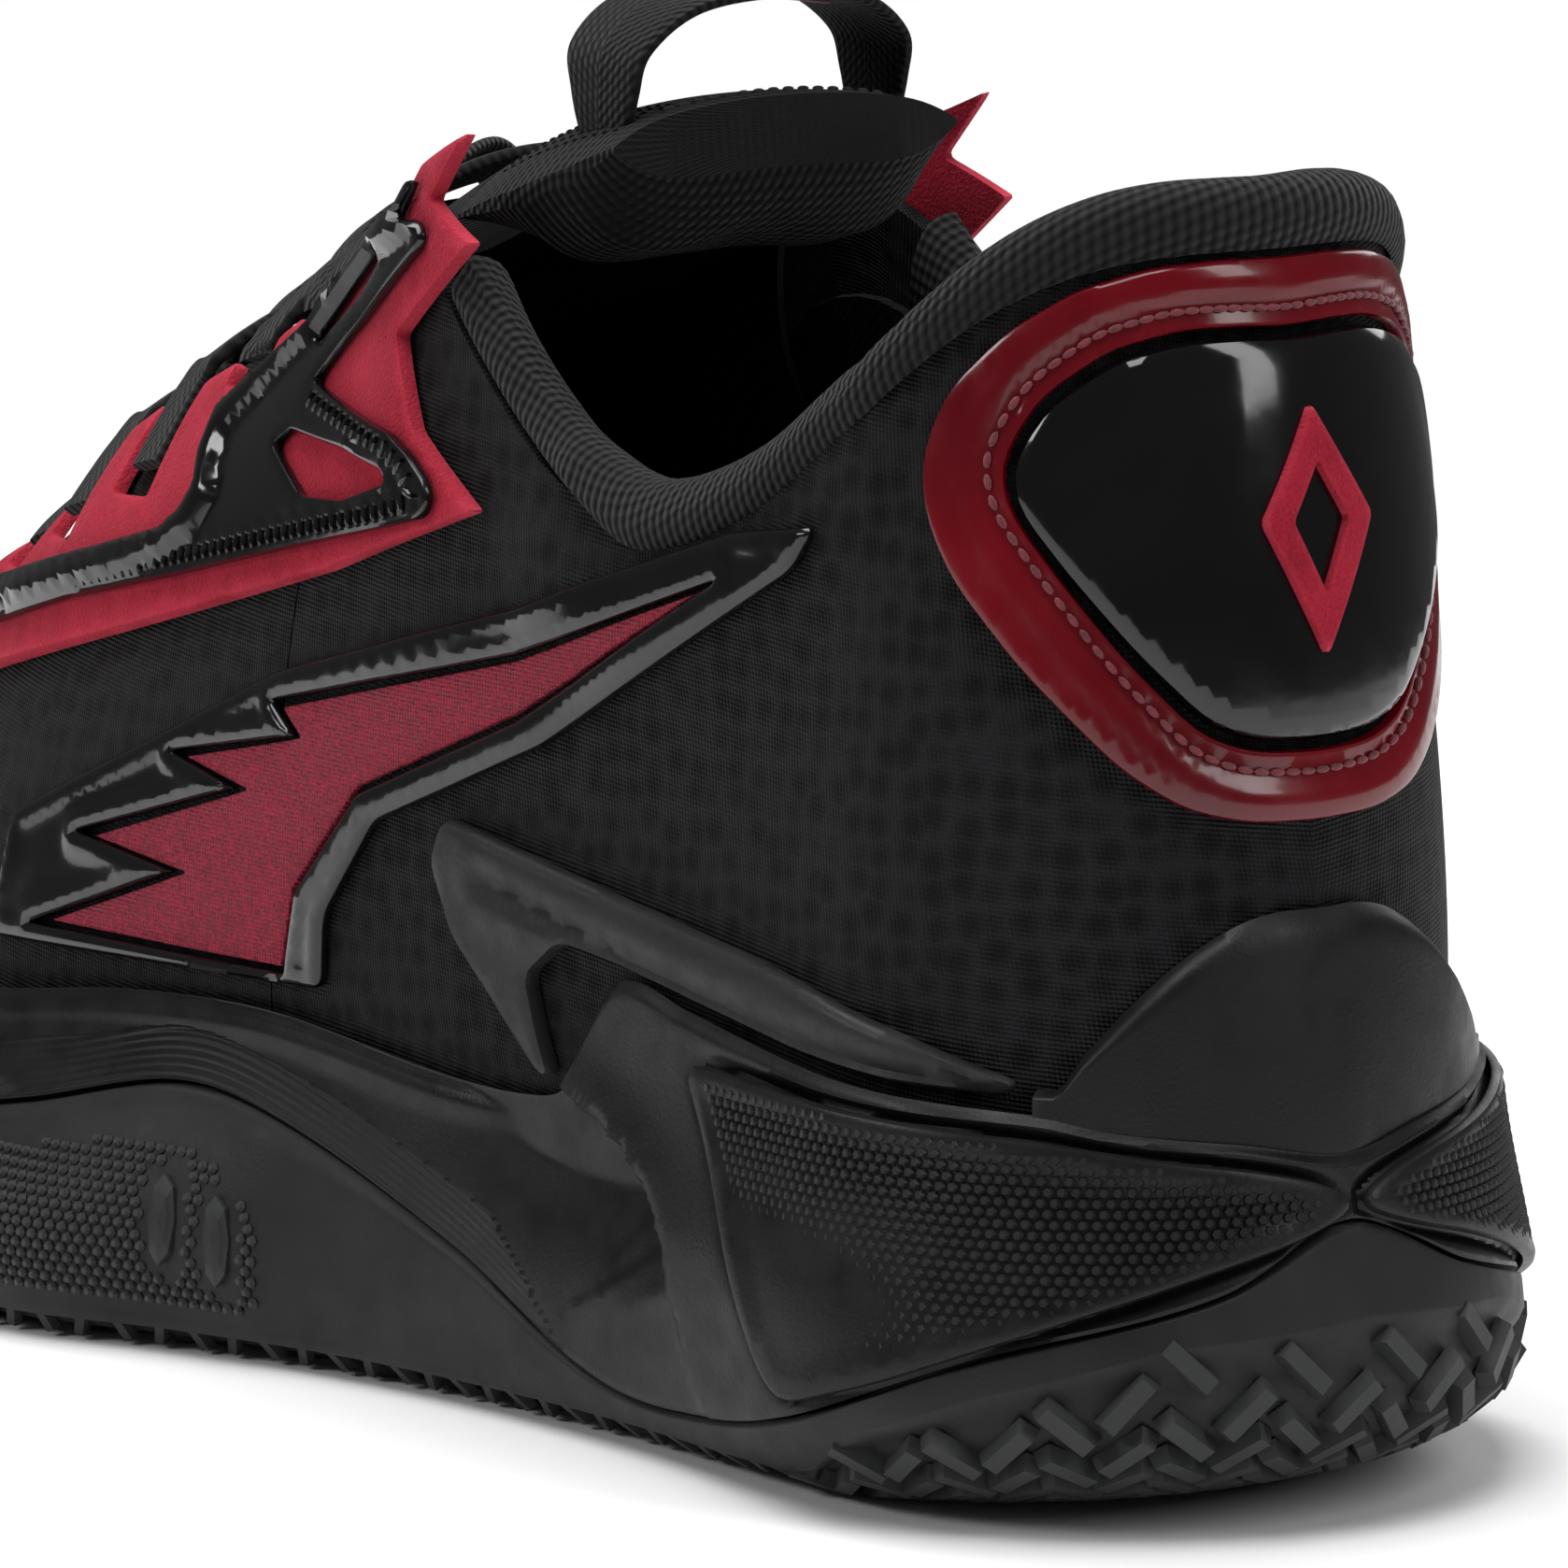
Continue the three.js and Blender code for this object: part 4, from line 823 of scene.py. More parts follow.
def patch(name, outline, holes, base, thick, material, surface=form_point, side=1, edge=0.45, grid=1.6, relief=None):
    """A moulded or cut piece laid on a surface: a flat pattern with rounded edges, base above the surface."""
    loops = [dense(np.asarray(o, float), grid * 0.8) for o in [outline, *holes]]
    border, edges, count = np.concatenate(loops), [], 0
    for loop in loops:
        edges += [(count + i, count + (i + 1) % len(loop)) for i in range(len(loop))]
        count += len(loop)
    within = lambda p: inside(p, loops[0]) & ~np.any([inside(p, h) for h in loops[1:]] or [np.zeros(len(p), bool)], 0)
    gap = lambda p: np.min([nearest(p, loop, closed=True)[0] for loop in loops], 0)
    low, high = loops[0].min(0), loops[0].max(0)
    gx, gy = np.meshgrid(np.arange(low[0], high[0], grid), np.arange(low[1], high[1], grid * 0.87))
    gx[::2] += grid / 2
    inner = np.stack([gx.ravel(), gy.ravel()], -1)
    inner = inner[within(inner)]
    inner = inner[gap(inner) > edge + grid * 0.45]
    rims = []
    for k in (0.3, 1.0):
        for loop in loops:
            run = np.roll(loop, -1, 0) - np.roll(loop, 1, 0)
            normal = np.stack([-run[:, 1], run[:, 0]], -1) / np.maximum(np.linalg.norm(run, axis=1), 1e-9)[:, None]
            for way in (1, -1):
                moved = loop + normal * way * edge * k
                moved = moved[within(moved)]
                if len(moved):
                    rims.append(moved[gap(moved) > edge * k * 0.9])
    flat = np.concatenate([border, *rims, inner])
    verts, _, faces, *_ = delaunay_2d_cdt([Vector(p) for p in flat], edges, [], 0, 1e-7)
    flat = np.array([tuple(v) for v in verts])
    faces = np.array([f for f in faces if len(f) == 3])
    faces = faces[within(flat[faces].mean(1))]
    d = gap(flat)
    rise = np.sqrt(np.clip(1 - (1 - np.clip(d / edge, 0, 1)) ** 2, 0, 1))
    foot = max(thick - edge, 0.3 * thick)
    top = foot + (thick - foot) * rise
    if relief is not None:
        top = top + relief(flat, d)
    q, z = flat[:, 0] * side, flat[:, 1]
    t = reach(surface, q, z)
    skins = [lift(surface, q, t, base + h) for h in (top, np.zeros(len(flat)))]
    n = len(flat)
    halves = [tuple(e) for f in faces for e in ((f[0], f[1]), (f[1], f[2]), (f[2], f[0]))]
    paired = set(halves)
    walls = [(b, a, a + n, b + n) for a, b in halves if (b, a) not in paired]
    body = [*faces.tolist(), *(faces[:, ::-1] + n).tolist(), *walls]
    cloth = np.concatenate([flat, flat])
    return piece(name, np.concatenate(skins), body, material, cloth)


panel_outline = rounded(panel_edge, 3)
PANEL_RIM = 0.09  # share of the leaf left smooth round its edge
SIDES = (("outer", 1), ("inner", -1))
for name, side in SIDES:
    panel = patch("heel_panel_" + name + "_leaf", panel_outline, [], 0.35, 1.1, panel_rubber, sole_point, side,
                  0.7, 1.5, relief=lambda p, d: heel_belly(p) - 0.5 * ease((d - 1.0) / 2.5))
    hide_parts("heel_panel_" + name)
    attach(panel, "shoe")
    shrunk = panel_outline + (panel_outline.mean(0) - panel_outline) * PANEL_RIM
    scales = repeat("heel_panel_" + name + "_scales", *field(sole_point, shrunk, 1.3, side, 0.95, 0.28), scale_tile,
                    {"Top": 0.42, "Foot": 0.64, "Height": 0.55}, panel_rubber)
    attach(scales, "shoe")

# ---- Heel clip ----
# A matte rubber cup moulded to the back of the heel above the foam, with a soft peak.
clip_rubber = rubber_finish("clip_rubber", (0.004, 0.0042, 0.0044), (0.0075, 0.0078, 0.008), 0.42)
clip_top = line((0, 59.8), (6, 59.8), (11, 58.8), (17, 56), (22.5, 52), (28, 46.8), (31, 43.4))
q = np.linspace(-33, 33, 67)[:, None]
low_z = lip_height(q) - 0.6
high_z = np.maximum(clip_top(q), low_z + 0.8)
k = np.linspace(0, 1, 22)[None, :]
z = low_z + (high_z - low_z) * k
body = (1.5 + (60 - z) * 0.075) * np.sqrt(np.clip(1 - np.clip((k - 0.86) / 0.14, 0, 1) ** 2, 0.02, 1))
body += 0.5 * np.exp(-((q / 5) ** 2)) * ease(1 - k)
near = lift(form_point, q, reach(form_point, q, z), 0.3 + body)
back = lift(form_point, q, reach(form_point, q, z), 0.3 + 0 * body)
clip = loft("heel_clip_cup", np.concatenate([near, back[:, ::-1]], 1), clip_rubber)
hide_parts("heel_clip")
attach(clip, "shoe")

# ---- Inside the sole and heel ----
# Pressed fibre lasting board and a stiff heel cup, both hidden once the shoe is lined, and the soft
# sockliner that lies on the board.
fibre = finish("pressed_fibre", (0.25, 0.235, 0.21), 0.9)
tint(fibre, speckle(fibre, 900, 5), (0.19, 0.175, 0.15), (0.31, 0.29, 0.26))
emboss(fibre, calc(fibre, "MULTIPLY", speckle(fibre, 2200), 0.08))
cup_plastic = finish("heel_cup_plastic", (0.02, 0.02, 0.022), 0.6)
tint(cup_plastic, speckle(cup_plastic, 120), (0.015, 0.015, 0.017), (0.03, 0.03, 0.033))
emboss(cup_plastic, calc(cup_plastic, "MULTIPLY", speckle(cup_plastic, 1500), 0.03))
for node, coat in (("lasting_board", fibre), ("heel_stiffener", cup_plastic)):
    frame["nodes"][node].data.materials.clear()
    frame["nodes"][node].data.materials.append(coat)


def knit_finish(name, dark, light, pitch, depth, sheen=0.25):
    """Knitted mesh: rows of small loops along the cloth's own directions."""
    material = finish(name, dark, 0.9, Sheen_Weight=sheen * 0.4, Sheen_Roughness=0.5, Specular_IOR_Level=0.15)
    flat = add(material, "UVMap", uv_map="cloth").outputs["UV"]
    apart = add(material, "SeparateXYZ", {"Vector": flat})
    u, v = (calc(material, "MULTIPLY", apart.outputs[k], 2 * math.pi / pitch) for k in ("X", "Y"))
    loop = calc(material, "MULTIPLY", calc(material, "SINE", u),
                calc(material, "SINE", calc(material, "MULTIPLY", v, 0.8)))
    rib = calc(material, "SINE", calc(material, "MULTIPLY", u, 0.5))
    height = calc(material, "ADD", calc(material, "MULTIPLY", loop, 0.5), calc(material, "MULTIPLY", rib, 0.35))
    tint(material, calc(material, "MULTIPLY_ADD", height, 0.35, 0.5), dark, light)
    emboss(material, calc(material, "MULTIPLY", height, depth))
    return material


sock_knit = knit_finish("sockliner_knit", (0.004, 0.004, 0.0045), (0.012, 0.012, 0.013), 1.3, 0.1)
q = all_round(LINING_STEP)[:, None]
board_r = form_foot(q) - 2.6
r = form_foot(q) - 6.0
spine = foot_height(np.clip(np.abs(q), ARC, ARC + LAST_RUN))
slope = lambda share: foot_height(q) + (spine - foot_height(q)) * (1 - share)
share = np.linspace(0, 1, 14)[None, :]
over_z = slope(share * r / board_r) + 6.3 + 2.2 * ease((share - 0.72) / 0.28)
over = put(q, r * share, over_z - 0.5 * np.clip((share - 0.97) / 0.03, 0, 1))
under_row = put(q, r * np.linspace(1, 0, 6)[None, :], slope(np.linspace(1, 0, 6)[None, :] * r / board_r)
                + 2.3 + 1.2 * np.linspace(1, 0, 6)[None, :] ** 4)
sockliner = loft("sockliner_soft", np.concatenate([over, under_row], 1), sock_knit, closed=True)
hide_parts("sockliner")
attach(sockliner, "shoe")

# ---- Woven upper ----
# Two quarters and a vamp of one thick woven fabric, stitched together and cemented under the sole, with a
# soft mesh lining inside. Padding under the cloth makes it stand out below the collar.


def flat_axes(material):
    """The two distances along the cloth, in millimetres."""
    apart = add(material, "SeparateXYZ", {"Vector": add(material, "UVMap", uv_map="cloth").outputs["UV"]})
    return apart.outputs["X"], apart.outputs["Y"]


def wave(material, value, pitch):
    return calc(material, "SINE", calc(material, "MULTIPLY", value, 2 * math.pi / pitch))


def woven_finish(name, dark, light, sheen):
    """Fine twill dots over a faint pattern of diamonds."""
    material = finish(name, dark, 0.6, Sheen_Weight=sheen, Sheen_Roughness=0.3, Specular_IOR_Level=0.13)
    u, v = flat_axes(material)
    dots = calc(material, "MULTIPLY", wave(material, calc(material, "ADD", u, v), 1.1),
                wave(material, calc(material, "SUBTRACT", u, v), 0.8))
    flat = add(material, "UVMap", uv_map="cloth").outputs["UV"]
    cells = add(material, "TexVoronoi", {"Vector": flat, "Scale": 0.31, "Randomness": 0.45}).outputs["Distance"]
    amount = calc(material, "MULTIPLY_ADD", dots, 0.22, calc(material, "MULTIPLY_ADD", cells, 1.15, 0.02))
    tint(material, amount, dark, light)
    emboss(material, calc(material, "ADD", calc(material, "MULTIPLY", dots, 0.13),
                          calc(material, "MULTIPLY", cells, 0.35)))
    return material


woven = woven_finish("woven_upper", (0.0005, 0.0006, 0.0007), (0.0095, 0.01, 0.0113), 0.02)
collar_line = line((0, 124.5), (25, 123.5), (42, 118.5), (60, 107.5), (75, 97), (90, 91.8), (101, 94), (110, 99),
                   (118, 105.5), (127, 113), (134, 117), (141, 118))
edge_height = lambda q: np.where(np.abs(q) < 141, collar_line(q), top_height(q) - 0.2)


def puff(q, z):
    """How far the padding under the cloth pushes it out."""
    s = np.abs(q)
    return 1.5 * ease((s - 51) / 12) * ease((116 - s) / 12) * np.exp(-(((edge_height(q) - 9 - z) / 8) ** 2))


def upper_point(q, v):
    p = form_point(q, v)
    return p + outward(form_point, q, v) * puff(q, p[..., 2])[..., None]


def skin(q, v, away, surface=upper_point):
    """Points off the upper; where its two sides meet on the centre line, away is straight up."""
    q, v = np.broadcast_arrays(q, v)
    p = lift(surface, q, v, away)
    ridge = (np.abs(q) >= 249.5) & (v >= 0.999)
    return np.where(ridge[..., None], form_point(q, v) + np.array([0, 0, away]), p)


def to_edge(q):
    return np.where(np.abs(q) >= 249.9, 1, reach(form_point, q, edge_height(q)))


for name, side in SIDES:
    q = np.linspace(0.02, 149.7, 100)[:, None] * side
    v = to_edge(q) * np.linspace(0, 1, 44)[None, :]
    quarter = loft("quarter_" + name + "_cloth",
                   np.concatenate([skin(q, v, 0), skin(q, v, -2, form_point)[:, ::-1]], 1), woven)
    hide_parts("quarter_" + name)
    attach(quarter, "shoe")
front_q = np.concatenate([np.linspace(150, 249.4, 46), np.linspace(250, TOE, 44), -np.linspace(TOE, 250, 44)[1:],
                          -np.linspace(249.4, 150, 46)])
q = front_q[:, None]
v = to_edge(q) * np.linspace(0, 1, 40)[None, :]
vamp = loft("vamp_cloth", np.concatenate([skin(q, v, 0), skin(q, v, -2)[:, ::-1]], 1), woven)
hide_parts("vamp")
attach(vamp, "shoe")

lining_knit = knit_finish("lining_mesh", (0.002, 0.002, 0.0022), (0.007, 0.007, 0.0075), 1.1, 0.12, 0.1)
q = all_round(LINING_STEP)[:, None]
drop = np.where(np.abs(q) < 105, 3, np.where(np.abs(q) < 150, 3 + (np.abs(q) - 105) * 0.24, 13.8))
top_v = np.where(np.abs(q) > 225, np.minimum(0.62, reach(form_point, 225, top_height(225) - 14)),
                 reach(form_point, q, edge_height(q) - drop))
low_v = reach(form_point, q, foot_height(q) + 2.6)
v = low_v + (top_v - low_v) * np.linspace(0, 1, 26)[None, :]
sleeve = np.concatenate([lift(form_point, q, v, -3.9), lift(form_point, q, v, -5.2)[:, ::-1]], 1)
lining = loft("lining_mesh_sleeve", sleeve, lining_knit, closed=True)
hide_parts("lining")
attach(lining, "shoe")

# ---- Toe cap and side wings ----
# Thin moulded films fused to the cloth: one wraps the toe, and one on each side carries the line of the
# heel forward as a soft ridge with a groove under it.
film = finish("matte_film", (0.005, 0.0052, 0.0056), 0.45, Specular_IOR_Level=0.35)
# Painted highlight and wear: the film's outward edges are lightened.
edge_wear_and_highlight(film, (0.02, 0.0205, 0.021), tint(film, speckle(film, 90), (0.0045, 0.0047, 0.005), (0.009, 0.0093, 0.0097)))
polish(film, speckle(film, 300, 4), 0.42, 0.6)
emboss(film, calc(film, "MULTIPLY", speckle(film, 1800), 0.05))
q = np.concatenate([np.linspace(252, TOE, 44), -np.linspace(TOE, 252, 44)[1:]])[:, None]
low_v, high_v = reach(form_point, q, lip_height(q) + 0.8), line((252, 0.32), (275, 0.48), (325, 0.6))(q)
k = np.linspace(0, 1, 20)[None, :]
crown_v = low_v + (high_v - low_v) * k
cap_top = 0.7 + 0.8 * np.sqrt(np.clip(1 - np.clip((k - 0.93) / 0.07, 0, 1) ** 2, 0, 1)) + 0 * q
cap_rings = np.concatenate([lift(form_point, q, crown_v, cap_top), lift(form_point, q, crown_v, 0.3)[:, ::-1]], 1)
cap = loft("toe_cap_film", cap_rings, film)
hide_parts("toe_cap")
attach(cap, "shoe")

wing_edge = rounded([(119, 60), (90, 55.4), (67.5, 52.1), (48.5, 47.9), (35, 44.2), (36, 42.9), (50, 43.4),
                     (63, 44.6), (80, 47.2), (91, 49), (99.5, 50), (105.5, 46), (103.8, 39.5), (102.5, 36),
                     (104.5, 36), (112, 43.2), (117.5, 48.1), (121, 55.4)], 1.6)
wing_groove = np.array([(112, 54.5), (96.5, 51.3), (82, 48.6), (63.5, 45.8), (50, 44.4), (34, 43.2)])


def wing_relief(p, d):
    gap = nearest(p, wing_groove)[0]
    return -0.75 * np.exp(-((gap / 0.7) ** 2)) + 0.35 * np.exp(-(((gap - 2.6) / 1.6) ** 2)) - 0.25


for name, side in SIDES:
    wing = patch("wing_" + name + "_film", wing_edge, [], 0.3, 2.0, film, form_point, side, 0.9, 1.2, wing_relief)
    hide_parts("wing_" + name)
    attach(wing, "shoe")

# ---- Collar ----
# A padded knitted roll stitched to the cloth's top edge all round the foot opening. It turns over the edge
# and runs down inside as padding; its front ends tuck in behind the lace flaps.


def knit_rib(name, dark, light):
    """Knit whose courses run across the piece as fine ribs."""
    material = finish(name, dark, 0.9, Sheen_Weight=0.08, Sheen_Roughness=0.5, Specular_IOR_Level=0.18)
    u, v = flat_axes(material)
    rib = wave(material, u, 1.15)
    loop = wave(material, calc(material, "ADD", v, calc(material, "MULTIPLY", u, 0.35)), 1.3)
    height = calc(material, "MULTIPLY_ADD", rib, 0.6, calc(material, "MULTIPLY", loop, 0.4))
    tint(material, calc(material, "MULTIPLY_ADD", height, 0.25, 0.5), dark, light)
    emboss(material, calc(material, "MULTIPLY", height, 0.2))
    return material


def stuffed(made, cap, held, pressure=4.0):
    """Blows a pad up like cloth over padding. held is the share, 0 to 1, that a point is sewn down, and no
    point moves further than cap millimetres."""
    mesh = made.data
    start = np.zeros(len(mesh.vertices) * 3)
    mesh.vertices.foreach_get("co", start)
    sewn = made.vertex_groups.new(name="sewn")
    for i, weight in enumerate(held(start.reshape(-1, 3) / MM)):
        sewn.add([i], float(weight), "REPLACE")
    cloth = made.modifiers.new("fill", "CLOTH")
    cloth.settings.use_pressure = True
    cloth.settings.uniform_pressure_force = pressure
    cloth.settings.vertex_group_mass = "sewn"
    cloth.settings.effector_weights.gravity = 0
    cloth.settings.quality = 4
    cloth.point_cache.frame_start, cloth.point_cache.frame_end = 1, 20
    for frame in range(1, 21):
        scene.frame_set(frame)
    filled = made.evaluated_get(bpy.context.evaluated_depsgraph_get()).data
    moved = np.zeros(len(start))
    filled.vertices.foreach_get("co", moved)
    moved = (moved - start).reshape(-1, 3)
    far = np.linalg.norm(moved, axis=1, keepdims=True)
    moved *= np.minimum(1, cap * MM / np.maximum(far, 1e-9))
    made.modifiers.clear()
    made.vertex_groups.clear()
    mesh.vertices.foreach_set("co", (start + moved.ravel()))
    mesh.update()
    scene.frame_set(1)


def smooth_ring(points, count):
    """A smooth closed curve through a ring of points."""
    p = np.asarray(points, float)
    n = len(p)
    t = np.linspace(0, n, count, endpoint=False)
    i, w = t.astype(int) % n, (t % 1)[:, None]
    a, b, c, d = (p[(i + k) % n] for k in (-1, 0, 1, 2))
    return 0.5 * (2 * b + (c - a) * w + (2 * a - 5 * b + 4 * c - d) * w**2 + (3 * b - a - 3 * c + d) * w**3)


collar_knit = knit_rib("collar_knit", (0.0022, 0.0023, 0.0026), (0.0165, 0.017, 0.018))
near_row = [(0.9, -1.6), (1.7, 0), (1.9, 2.2), (0.8, 4.3), (-2, 5.2), (-5.2, 4.2), (-8.1, 0.5), (-9.0, -8),
            (-7.4, -16.6)]
far_row = [(0.6, -1.3), (0.6, 0), (0.5, 0.9), (-0.8, 1), (-2.4, 1), (-4.2, 1), (-6, 0.6), (-6.1, -8), (-6.1, -16.4)]
tucked_near = [(-0.3, 0.7), (-0.15, 1.3), (-0.1, 2.4), (-1.6, 4.4)]
tucked_far = [(-0.7, 0.6), (-1, 0.55), (-1.3, 0.55), (-1.7, 0.6)]
roll_depth, roll_tuck = line((0, 1), (95, 1), (112, 0.8), (128, 0.72)), line((92, 0), (112, 1))


def roll_ring(q):
    """One section of the roll: how far out and up from the cloth's edge each point lies."""
    s, t, deep = abs(q), float(roll_tuck(q)), float(roll_depth(q))
    inward, rise = min(1, max(0, 2 * t - 1)), min(1, 2 * t)
    made = []
    for rows, ends in ((near_row, tucked_near), (far_row[::-1], tucked_far[::-1])):
        for k, (out, up) in enumerate(rows):
            j = k if rows is near_row else k - 5
            if 0 <= j < 4:
                out, up = out * (1 - inward) + ends[j][0] * inward, up * (1 - rise) + ends[j][1] * rise
            if rows is near_row and out < -3:
                out = -6.6 + (out + 6.6) * deep
            made.append((out, up * (deep if up < -5 else 1)))
    return smooth_ring(made, 54)


rings = []
for place in np.linspace(-124, 124, 170):
    edge_v = reach(form_point, place, edge_height(place))
    edge = form_point(place, edge_v)
    out = outward(form_point, place, edge_v) * (1, 1, 0)
    out /= np.linalg.norm(out)
    ring = roll_ring(place)
    point = edge + ring[:, :1] * out
    point[:, 2] = float(edge_height(place)) + ring[:, 1]
    rings.append(point)
collar = loft("collar_roll_pad", rings, collar_knit)
collar_track = np.array([form_point(p, reach(form_point, p, edge_height(p))) for p in np.linspace(-124, 124, 300)])


def collar_sewn(points):
    gap, low = np.full(len(points), 1e9), np.zeros(len(points))
    for p in collar_track:
        d = np.hypot(points[:, 0] - p[0], points[:, 1] - p[1])
        low = np.where(d < gap, points[:, 2] - p[2], low)
        gap = np.minimum(gap, d)
    return np.where((gap < 3.2) & (low < 1.4), 1.0, np.where(low < -13, 1.0, np.where(low < 0, 0.25, 0.0)))


stuffed(collar, 0.7, collar_sewn, 400)
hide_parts("collar_roll")
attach(collar, "shoe")

# ---- Lace flaps ----
# Stiff suede flaps, one each side of the throat, notched along the top where the laces pass. Their rear
# corner is cut into a barb.
suede = finish("red_suede", (0.3, 0.017, 0.038), 0.95, Sheen_Weight=0.2, Sheen_Roughness=0.4,
               Sheen_Tint=(1, 0.35, 0.42, 1), Specular_IOR_Level=0.1)
nap = calc(suede, "MULTIPLY_ADD", speckle(suede, 3200, 4), 0.55,
           calc(suede, "MULTIPLY", speckle(suede, 160, 4), 0.45))
# Painted highlight and wear: the suede's outward edges are lightened.
edge_wear_and_highlight(suede, (0.55, 0.05, 0.08), tint(suede, nap, (0.22, 0.008, 0.02), (0.44, 0.022, 0.045)))
emboss(suede, calc(suede, "MULTIPLY", speckle(suede, 2600, 5), 0.28))
lace_places = [(224, 69.6), (207, 75.6), (190, 82.4), (172.5, 95.4), (157, 102.6)]
throat = lambda s: float(top_height(s)) - 0.2
flap_edge = [(120.5, 128.4), (127, 121), (118.2, 117.6), (131.5, 107), (126, 98), (115, 91.2), (141.4, 82),
             (175.4, 72.4), (211, 62.6), (234, 58), (243, 61), (238, 68.2)]
for s, low in lace_places:
    flap_edge += [(s + 5.1, throat(s + 5.1) - 2), (s + 4.8, low), (s - 4.8, low + 1), (s - 5.1, throat(s - 5.1) - 2)]
flap_edge = rounded(flap_edge + [(146, 113), (141, 115.6), (131, 124)], 0.7)
for name, side in SIDES:
    flap = patch("lace_flap_" + name, flap_edge, [], 0.6, 1.6, suede, form_point, side, 0.7, 1.5,
                 relief=lambda p, d: -0.35 * np.exp(-(((d - 2.4) / 0.45) ** 2)))
    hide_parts("eyestay_" + name)
    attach(flap, "shoe")

# ---- Gloss cages ----
# A glossy moulded film fused over each flap: a raised tube runs along its upper edge and round the big
# window, and a row of short teeth lies along the seam below.


def gloss_finish(name, dark, light, rough):
    material = finish(name, dark, rough, Coat_Weight=0.35, Coat_Roughness=0.06, Specular_IOR_Level=0.4)
    tint(material, speckle(material, 60), dark, light)
    polish(material, speckle(material, 180, 4), rough * 0.8, rough * 1.5)
    emboss(material, calc(material, "MULTIPLY", speckle(material, 260, 2), 0.02))
    return material


gloss = gloss_finish("gloss_film", (0.0016, 0.0016, 0.0018), (0.0032, 0.0032, 0.0035), 0.16)
cage_edge = rounded([(231, 62), (216, 65.2), (193.4, 71.8), (172, 77), (151, 82.4), (130, 87.6), (121.8, 89.8),
                     (120.8, 91.6), (121.6, 93.4), (125, 95.8), (129, 97.4), (139, 98.4), (148.8, 99.6), (143, 104.4),
                     (137, 108.4), (131, 112.6), (126.2, 116), (125.6, 117.4), (127.2, 118.8), (132.6, 118.2),
                     (129, 122.4), (131, 122.2), (141, 113.8), (147, 110.6), (152.4, 104.8), (164, 98), (171, 93.8),
                     (173.4, 90.6), (170.6, 87.4), (170.6, 84.6), (174.6, 81.6), (188.4, 77.8), (201.4, 74.4),
                     (211, 71.4), (233.5, 66)], 1.2)
cage_holes = [rounded(h, 0.9) for h in ([(135, 114.4), (138.6, 113.8), (145, 109), (151, 103.6), (149.6, 103),
                                         (147.6, 104.6), (141, 109)],
                                         [(155, 92.4), (151.6, 94.4), (138.4, 94.4), (129.4, 93.6), (128.6, 92.4),
                                          (137.4, 89.4), (146.4, 88.6)])]
tube = np.array([(128, 119.5), (139.5, 113.6), (147, 108.2), (155, 103), (163, 97.2), (168.5, 93), (169, 89.5),
                 (167.6, 86), (169.5, 82.8), (174, 80.2), (188, 75.8), (207, 70.4), (229, 64.6)])
ladder = np.array([(226, 64.2), (216, 66.7), (194, 73.1), (172.5, 78.4), (151.5, 83.8), (130.5, 89), (124.5, 90.9),
                   (123.8, 92.4), (126, 94.4), (130, 96), (139.6, 97), (148, 97.9)])


def cage_relief(p, d):
    along_tube = 1.5 * np.sqrt(np.clip(1 - (nearest(p, tube)[0] / 2.0) ** 2, 0, 1))
    seam = -0.3 * np.exp(-(((nearest(p, ladder)[0] - 1.3) / 0.4) ** 2))
    return (along_tube + seam) * ease(d / 0.8) - 0.35


def along_path(path, step):
    """Points and directions at equal steps along a path."""
    path = np.asarray(path, float)
    run = np.concatenate([[0], np.cumsum(np.linalg.norm(np.diff(path, axis=0), axis=1))])
    at = np.arange(step / 2, run[-1], step)
    spot = np.stack([np.interp(at, run, path[:, k]) for k in (0, 1)], -1)
    ahead = np.stack([np.interp(at + 0.4, run, path[:, k]) - np.interp(at - 0.4, run, path[:, k]) for k in (0, 1)],
                     -1)
    return spot, ahead


def laid(surface, spot, ahead, side, away, turned=False):
    """Places on a surface, the directions out of it and the directions of a path on it."""
    q, z = spot[:, 0] * side, spot[:, 1]
    t = reach(surface, q, z)
    t2 = reach(surface, q + ahead[:, 0] * side * 0.5, z + ahead[:, 1] * 0.5)
    out = outward(surface, q, t)
    lie = surface(q + ahead[:, 0] * side * 0.5, t2) - surface(q, t)
    lie /= np.maximum(np.linalg.norm(lie, axis=1, keepdims=True), 1e-9)
    return surface(q, t) + out * away, out, np.cross(out, lie) if turned else lie


TOOTH_PITCH = 1.7
for name, side in SIDES:
    cage = patch("gloss_cage_" + name, cage_edge, cage_holes, 2.5, 1.4, gloss, form_point, side, 0.5, 1.0,
                 cage_relief)
    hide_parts("cage_" + name)
    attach(cage, "shoe")
    spot, ahead = along_path(ladder, TOOTH_PITCH)
    teeth = repeat("cage_teeth_" + name, *laid(form_point, spot, ahead, side, 3.6, turned=True), bead,
                   {"Length": 2.2, "Width": 0.85, "Height": 0.8}, gloss)
    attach(teeth, "shoe")

